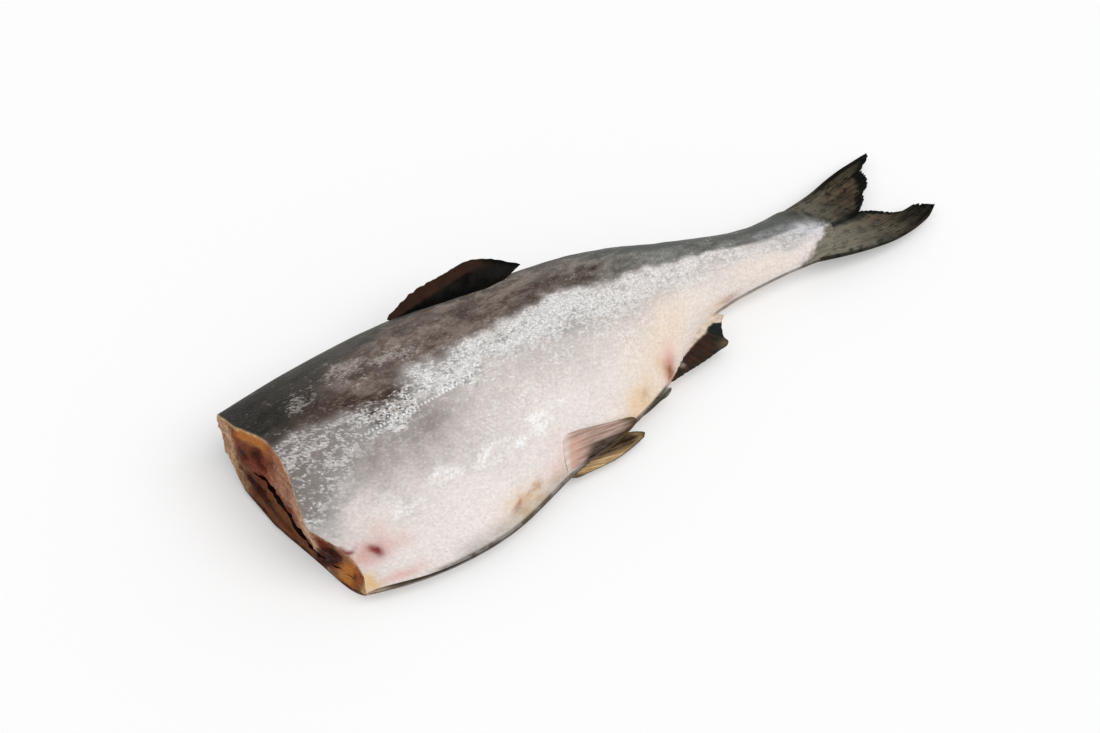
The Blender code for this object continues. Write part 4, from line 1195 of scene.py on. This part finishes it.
def build_adipose_fin(look):
    """A small soft flap without rays of its own."""
    middle = rays_between(ADIPOSE_ROOT, ADIPOSE_TIP, ADIPOSE_STEPS)
    material = fin_material("adipose_fin_skin", look, ADIPOSE_RAYS)
    fin("adipose_fin", middle, ADIPOSE_THICKNESS, material, ADIPOSE_RAYS, seed=61)


def build_tail_fin(look):
    """The tail fin: a sheet between its upper and lower edge lines, whose rays run from the wrist
    to the ragged rear edge, with its thickness times the ribs' cosine."""
    share = np.linspace(0, 1, TAIL_STEPS[0])[:, None]
    along = np.linspace(0, 1, TAIL_STEPS[1])[None, :]
    rear = np.interp(share, TAIL_EDGE_SHARE, TAIL_EDGE_X)
    teeth = TOOTH_LENGTH * (np.abs(np.sin(math.pi * TAIL_RAYS * share)) - 0.8)
    teeth = teeth + 0.0007 * unevenness(share, 0.03, 71)[:, None]
    rear = rear + np.minimum(teeth, 0.0005) * window(share, 0.01, 0.05, 0.84, 0.92)
    x = TAIL_ROOT_X + (rear - TAIL_ROOT_X) * along
    upper_y, lower_y = spline(TAIL_UPPER_X, TAIL_UPPER_Y)(x), spline(TAIL_LOWER_X, TAIL_LOWER_Y)(x)
    z = spline(TAIL_HEIGHT_X, TAIL_HEIGHT)(x)
    middle = np.stack([x, upper_y + (lower_y - upper_y) * share, z], axis=-1)
    middle[..., 2] += TAIL_WAVES * unevenness(middle, 0.02, 72) * ease(along, 0.3, 1.0)
    rim = 1 - (1 - TAIL_RIM) * (2 * share - 1) ** 6
    ribs = 1 + 0.12 * np.cos(2 * math.pi * TAIL_RAYS * share) * ease(x, 0.335, 0.365)
    thickness = np.interp(x, TAIL_THICKNESS_X, TAIL_THICKNESS) * rim * ribs

    uneven = unevenness(middle, 0.006, 74)
    lower_part = ease(share, 0.36, 0.50)
    from_rear = rear - x + 0.0014 * uneven
    edge = 1 - ease(from_rear, 0.0056 - 0.0034 * lower_part, 0.0125 - 0.0065 * lower_part)
    leading = 0.97 * (1 - ease(share, 0.030, 0.085)) * (0.35 + 0.65 * ease(x, 0.345, 0.378))
    leading = leading + 0.85 * ease(share, 0.965, 0.995)
    fork = hill(share + 0.6 * (x - 0.362), 0.530, 0.036 + 0.034 * ease(x, 0.345, 0.372))
    tips = 0.80 * ease(x - 0.02 * (1 - ease(share, 0.40, 0.50)), 0.380, 0.402)
    brown = 1.1 * hill(share, 0.29, 0.14) * hill(x, 0.376, 0.013)
    brown = brown + 0.8 * hill(share, 0.68, 0.10) * hill(x, 0.380, 0.012)
    brown = brown * np.clip(0.6 + 0.8 * unevenness(middle, 0.004, 75), 0, 1)
    pale_ray = 0.8 * hill(share, 0.615, 0.014) * (1 - ease(x, 0.356, 0.370))
    dark_patch = hill(share, 0.46, 0.10) * hill(x, 0.3465, 0.0050) + fork * ease(x, 0.338, 0.350)
    low_spots = ease(uneven, 0.2, 0.9) * ease(share, 0.90, 0.97) * window(x, 0.325, 0.335, 0.375, 0.385)
    light = 0.62 + 0.30 * ease(share, 0.42, 0.60)
    reach = 0.396 - 0.016 * (1 - ease(share, 0.40, 0.60))
    root = light * (1 - ease(x + 0.004 * unevenness(middle, 0.01, 73), 0.336, reach))
    masks = {
        "root": root + pale_ray,
        "rim": np.maximum.reduce([edge, leading, fork * ease(x, 0.352, 0.366), tips]),
        "accent": brown,
        "base": dark_patch + 0.9 * low_spots,
    }
    masks = {mask: np.clip(part, 0, 1) for mask, part in masks.items()}
    material = fin_material(
        "tail_fin_skin", look, TAIL_RAYS, (0.055, 0.03, 0.42), specular=0.02, streaky=0.1,
        blotchy=0.45, waver=2.4,
    )
    blade("tail_fin", middle, thickness, masks, material)


def build_vent(look):
    """The small raised lip round the vent: a stretched ball with a crease along it."""
    round_it, down = np.linspace(0, 2 * math.pi, VENT_STEPS[0]), np.linspace(0, math.pi, VENT_STEPS[1])
    turn, tilt = np.meshgrid(round_it, down, indexing="ij")
    crease = 1 - 0.35 * hill(np.cos(turn), 0, 0.25) * np.sin(tilt) * (np.sin(turn) < 0)
    unit = np.stack([np.cos(tilt), np.sin(tilt) * np.cos(turn), np.sin(tilt) * np.sin(turn)], axis=-1)
    swell = 0.65 + 0.75 * ease(unit[..., 0], 0.15, 0.75)  # wider towards the tail
    unit[..., 1:] *= (crease * swell)[..., None]
    unit[-1] = unit[0]
    x, y, z = (unit[..., i] * VENT_RADII[i] for i in range(3))
    turned_x = x * math.cos(VENT_TURN) - y * math.sin(VENT_TURN)
    turned_y = x * math.sin(VENT_TURN) + y * math.cos(VENT_TURN)
    points = np.stack([turned_x, turned_y, z], axis=-1) + np.array(VENT_CENTRE)
    masks = {
        "root": ease(unit[..., 0], 0.25, 0.6) * ease(unit[..., 2], -0.3, 0.4),
        "rim": np.exp(-((unit[..., 1] + 0.6) ** 2) / 0.1),
        "accent": 0.0,
        "base": 0.0,
    }
    uv = np.stack([turn / 6, tilt / 3], axis=-1)
    piece("vent", [Patch(points, uv, masks)], [fin_material("vent_skin", look, VENT_RAYS)])


# ---- Stage ----


def build_stage(settings):
    """A white floor, soft light from above and behind, and the photograph's camera."""
    scene = bpy.context.scene
    scene.view_settings.view_transform = "Standard"
    bpy.ops.mesh.primitive_plane_add(size=settings.floor_size)
    floor = bpy.context.object
    floor.name = "white_floor"
    material, _, shader = new_material("white_table")
    shader.inputs["Base Color"].default_value = FLOOR_COLOUR
    shader.inputs["Emission Color"].default_value = WHITE
    shader.inputs["Emission Strength"].default_value = FLOOR_GLOW
    shader.inputs["Roughness"].default_value = FLOOR_ROUGHNESS
    shader.inputs["Specular IOR Level"].default_value = 0.0
    floor.data.materials.append(material)

    world = bpy.data.worlds.new("white_room")
    world.use_nodes = True
    background = world.node_tree.nodes["Background"]
    background.inputs["Color"].default_value = WHITE
    background.inputs["Strength"].default_value = settings.room_light
    scene.world = world

    lamp = bpy.data.lights.new("wide_softbox", "SUN")
    lamp.energy = settings.lamp_power
    lamp.angle = settings.lamp_spread
    holder = bpy.data.objects.new("wide_softbox", lamp)
    holder.rotation_euler = (-Vector(LAMP_FROM)).to_track_quat("-Z", "Y").to_euler()
    scene.collection.objects.link(holder)

    middle = (CAD_LOW + CAD_HIGH) / 2
    right, up = Vector(CAMERA_RIGHT), Vector(CAMERA_UP)
    place = Vector(CAMERA_PLACE) + Vector((middle.x - LAYOUT_MIDDLE[0], middle.y - LAYOUT_MIDDLE[1], 0))
    camera = bpy.data.cameras.new("photo_camera")
    camera.sensor_width = SENSOR_WIDTH
    camera.lens = settings.lens
    camera.clip_start = CLIP_START
    view = bpy.data.objects.new("photo_camera", camera)
    turn = Matrix((right, up, right.cross(up))).transposed()
    view.matrix_world = Matrix.Translation(place) @ turn.to_4x4()
    scene.collection.objects.link(view)
    scene.camera = view


# ---- Add-on: settings, operators and panel ----


def colour(name, description, red, green, blue):
    """A colour setting whose default is given as it is seen."""
    return bpy.props.FloatVectorProperty(
        name=name, description=description, subtype="COLOR", size=4, min=0, max=1,
        default=seen(red, green, blue),
    )


class SkinLook(bpy.types.PropertyGroup):
    flank: colour("Flank", "Pearly skin of the middle flank", 209, 200, 195)
    flank_shade: colour("Flank shade", "Greyer patches of the middle flank", 197, 190, 187)
    fore: colour("Fore flank", "Greyer flank near the cut", 126, 117, 114)
    fore_shade: colour("Fore flank shade", "Darker patches near the cut", 112, 103, 99)
    belly: colour("Belly", "Cream-white skin of the belly", 230, 222, 218)
    cream: colour("Cream", "Cream skin towards the tail", 226, 208, 190)
    gap: colour("Band gaps", "Grey-teal skin between the silver band's scales", 150, 151, 149)
    gap_fore: colour("Fore gaps", "Skin between the bright scales near the cut", 122, 113, 109)
    brown: colour("Brown", "Light mottling of the upper flank", 124, 109, 100)
    brown_dark: colour("Dark brown", "Dark mottling of the upper flank", 76, 62, 54)
    brown_fore: colour("Fore brown", "Upper flank near the cut", 58, 49, 44)
    streak: colour("Streak", "Dark brown patches along the upper flank", 58, 40, 32)
    teal: colour("Back edge", "Grey-teal edge of the back", 62, 64, 60)
    teal_fore: colour("Fore back", "Dark back near the cut", 26, 29, 26)
    rear_back: colour("Rear back", "Grey back towards the tail", 122, 125, 120)
    rear_spot: colour("Rear spots", "Dark spots on the back towards the tail", 82, 86, 82)
    # Painted highlights: the bright scales' glints and sheen are laid into these silvers
    silver: colour("Silver", "Brightest scales", 246, 248, 250)
    silver_warm: colour("Warm silver", "Bright scales with a warm tint", 240, 234, 228)
    dull_silver: colour("Dull silver", "Single scales that shine on the back", 168, 158, 148)
    lilac: colour("Lilac", "Silver-lilac skin at the tail's base", 188, 188, 194)
    lilac_dark: colour("Dark lilac", "Shaded skin at the tail's base", 150, 153, 158)
    fin_base: colour("Fin base", "Skin past the last scales, on the tail fin", 120, 115, 101)
    fin_base_dark: colour("Dark fin base", "Dark patches past the last scales", 48, 52, 46)
    pink: colour("Pink", "Flushed skin near the cut and fins", 214, 164, 154)
    gold: colour("Gold", "Yellow-tan stains along the belly's edge", 214, 178, 126)
    ochre: colour("Ochre", "Brown stains along the belly", 142, 88, 56)
    blood: colour("Bruise", "Red bruises near the cut", 122, 52, 50)
    # Painted shadow along the belly's and the wrist's lower edge
    painted_edge_shadow: colour("Painted edge shadow", "Painted shadow line along the belly's edge", 62, 56, 44)
    scale_gap: colour("Scale gap", "Dark lines between scales", 92, 84, 82)


class FleshLook(bpy.types.PropertyGroup):
    meat: colour("Meat", "Red-brown muscle of the cut", 160, 90, 60)
    meat_dark: colour("Dark meat", "Darker muscle of the cut", 112, 44, 24)
    orange: colour("Orange", "Orange fat under the back's skin", 216, 140, 66)
    fat: colour("Fat", "Pale rim of skin and fat", 224, 184, 144)
    peach: colour("Peach", "Pale meat of the upper belly flap", 246, 204, 170)
    gold: colour("Gold", "Yellow fat at the belly's corner and under the skin", 224, 188, 126)
    tan: colour("Tan", "Tan lower belly wall", 122, 80, 50)
    dried_blood: colour("Dried blood", "Dark blood in the cut and cavity", 30, 5, 3)
    # Painted shadow round the cut's lower edge
    painted_rim_shadow: colour("Painted rim shadow", "Painted shadow round the cut's lower edge", 48, 32, 30)
    lining: colour("Lining", "The cavity's inner skin", 30, 10, 7)
    lip: colour("Lip", "Cut edge of the belly flaps", 206, 178, 156)
    # Painted shade on the flaps' edge
    lip_painted_shade: colour("Dark lip", "Painted shade on the belly flaps' edge", 84, 72, 60)


class FinLook(bpy.types.PropertyGroup):
    root: colour("Root", "Colour at the fin's root", 120, 100, 88)
    # On the pelvic fins the accent is painted shadow between the two fins
    accent: colour("Accent", "Colour of the fin's darker or browner part", 60, 50, 42)
    middle: colour("Middle", "Colour of the fin's middle", 90, 86, 72)
    streak: colour("Streak", "Colour of the streaks along its rays", 60, 52, 44)
    rim: colour("Rim", "Colour of its rim, gaps and spots", 18, 20, 18)
    base: colour("Base", "Colour of its light or dark patches, mostly where it joins the skin", 90, 86, 72)


class StageSettings(bpy.types.PropertyGroup):
    floor_size: bpy.props.FloatProperty(
        name="Floor size", description="Side of the white floor", default=8.0, unit="LENGTH"
    )
    room_light: bpy.props.FloatProperty(
        name="Room light", description="Strength of the white room's even light", default=0.66
    )
    lamp_power: bpy.props.FloatProperty(
        name="Lamp power", description="Strength of the main soft light", default=1.62
    )
    lamp_spread: bpy.props.FloatProperty(
        name="Lamp spread", description="How wide the main light looks", default=math.radians(55),
        unit="ROTATION",
    )
    lens: bpy.props.FloatProperty(
        name="Lens", description="Focal length of the photograph's camera", default=50.0, unit="CAMERA"
    )


FIN_COLOURS = {  # root, middle, streak, rim, accent and base
    "tail": ((130, 125, 111), (86, 78, 61), (44, 41, 32), (7, 9, 7), (100, 76, 56), (40, 48, 45)),
    # The dorsal fin's near-black is its own dark colour deepened by painted shade
    "dorsal": ((4, 4, 4), (7, 6, 5), (26, 24, 21), (5, 5, 4), (54, 35, 27), (6, 5, 5)),
    # The pelvic fins' accents are painted shadow between the two fins
    "pelvic": (
        (218, 200, 192), (182, 156, 146), (146, 122, 108), (78, 62, 38), (22, 12, 4), (200, 158, 144),
    ),
    "lower_pelvic": (
        (198, 164, 120), (194, 164, 120), (160, 128, 86), (74, 64, 48), (48, 32, 18), (206, 170, 130),
    ),
    "anal": ((76, 42, 28), (58, 34, 22), (36, 26, 19), (18, 30, 28), (104, 96, 68), (216, 198, 180)),
    "adipose": ((86, 86, 78), (70, 68, 58), (54, 50, 42), (30, 30, 26), (60, 56, 48), (86, 86, 78)),
    "vent": ((130, 125, 110), (82, 76, 64), (66, 60, 50), (52, 46, 38), (60, 52, 44), (82, 76, 64)),
}


def fin_look(name):
    """The scene's settings for one fin, set to that fin's colours."""
    look = getattr(bpy.context.scene, f"{name}_fin_look")
    colours = (seen(*parts) for parts in FIN_COLOURS[name])
    look.root, look.middle, look.streak, look.rim, look.accent, look.base = colours
    return look


class FISH_OT_trunk(bpy.types.Operator):
    """Build the trunk with its skin, cut face and belly cavity"""

    bl_idname = "fish.trunk"
    bl_label = "Trunk"

    def execute(self, context):
        build_trunk(context.scene.skin_look, context.scene.flesh_look)
        return {"FINISHED"}


class FISH_OT_dorsal_fin(bpy.types.Operator):
    """Build the dorsal fin, folded towards the tail"""

    bl_idname = "fish.dorsal_fin"
    bl_label = "Dorsal fin"

    def execute(self, context):
        build_dorsal_fin(fin_look("dorsal"))
        return {"FINISHED"}


class FISH_OT_pelvic_fins(bpy.types.Operator):
    """Build the two pelvic fins"""

    bl_idname = "fish.pelvic_fins"
    bl_label = "Pelvic fins"

    def execute(self, context):
        build_pelvic_fins(fin_look("pelvic"), fin_look("lower_pelvic"))
        return {"FINISHED"}


class FISH_OT_anal_fin(bpy.types.Operator):
    """Build the anal fin"""

    bl_idname = "fish.anal_fin"
    bl_label = "Anal fin"

    def execute(self, context):
        build_anal_fin(fin_look("anal"))
        return {"FINISHED"}


class FISH_OT_adipose_fin(bpy.types.Operator):
    """Build the small adipose fin behind the dorsal fin"""

    bl_idname = "fish.adipose_fin"
    bl_label = "Adipose fin"

    def execute(self, context):
        build_adipose_fin(fin_look("adipose"))
        return {"FINISHED"}


class FISH_OT_tail_fin(bpy.types.Operator):
    """Build the forked tail fin with its ragged rear edge"""

    bl_idname = "fish.tail_fin"
    bl_label = "Tail fin"

    def execute(self, context):
        build_tail_fin(fin_look("tail"))
        return {"FINISHED"}


class FISH_OT_vent(bpy.types.Operator):
    """Build the raised lip round the vent"""

    bl_idname = "fish.vent"
    bl_label = "Vent"

    def execute(self, context):
        build_vent(fin_look("vent"))
        return {"FINISHED"}


class FISH_OT_stage(bpy.types.Operator):
    """Set up the white floor, soft light and the photograph's camera"""

    bl_idname = "fish.stage"
    bl_label = "Stage"

    def execute(self, context):
        build_stage(context.scene.fish_stage)
        return {"FINISHED"}


OPERATORS = (
    FISH_OT_trunk, FISH_OT_dorsal_fin, FISH_OT_pelvic_fins, FISH_OT_anal_fin,
    FISH_OT_adipose_fin, FISH_OT_tail_fin, FISH_OT_vent, FISH_OT_stage,
)


class FISH_PT_panel(bpy.types.Panel):
    """Lists the fish's pieces and its stage"""

    bl_idname = "FISH_PT_panel"
    bl_label = "Headless pink salmon"
    bl_space_type = "VIEW_3D"
    bl_region_type = "UI"
    bl_category = "Fish"

    def draw(self, context):
        for operator in OPERATORS:
            self.layout.operator(operator.bl_idname)
        for settings, group in SETTINGS.items():
            for name in group.__annotations__:
                self.layout.prop(getattr(context.scene, settings), name)


SETTINGS = {"skin_look": SkinLook, "flesh_look": FleshLook, "fish_stage": StageSettings}
CLASSES = (SkinLook, FleshLook, FinLook, StageSettings, *OPERATORS, FISH_PT_panel)


def register():
    for made in CLASSES:
        bpy.utils.register_class(made)
    for name, group in SETTINGS.items():
        setattr(bpy.types.Scene, name, bpy.props.PointerProperty(type=group))
    for name in FIN_COLOURS:
        setattr(bpy.types.Scene, f"{name}_fin_look", bpy.props.PointerProperty(type=FinLook))


def unregister():
    for name in FIN_COLOURS:
        delattr(bpy.types.Scene, f"{name}_fin_look")
    for name in SETTINGS:
        delattr(bpy.types.Scene, name)
    for made in reversed(CLASSES):
        bpy.utils.unregister_class(made)


def main():
    """Registers the add-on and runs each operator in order."""
    register()
    for operator in OPERATORS:
        group, name = operator.bl_idname.split(".")
        getattr(getattr(bpy.ops, group), name)()


if __name__ == "__main__":
    main()
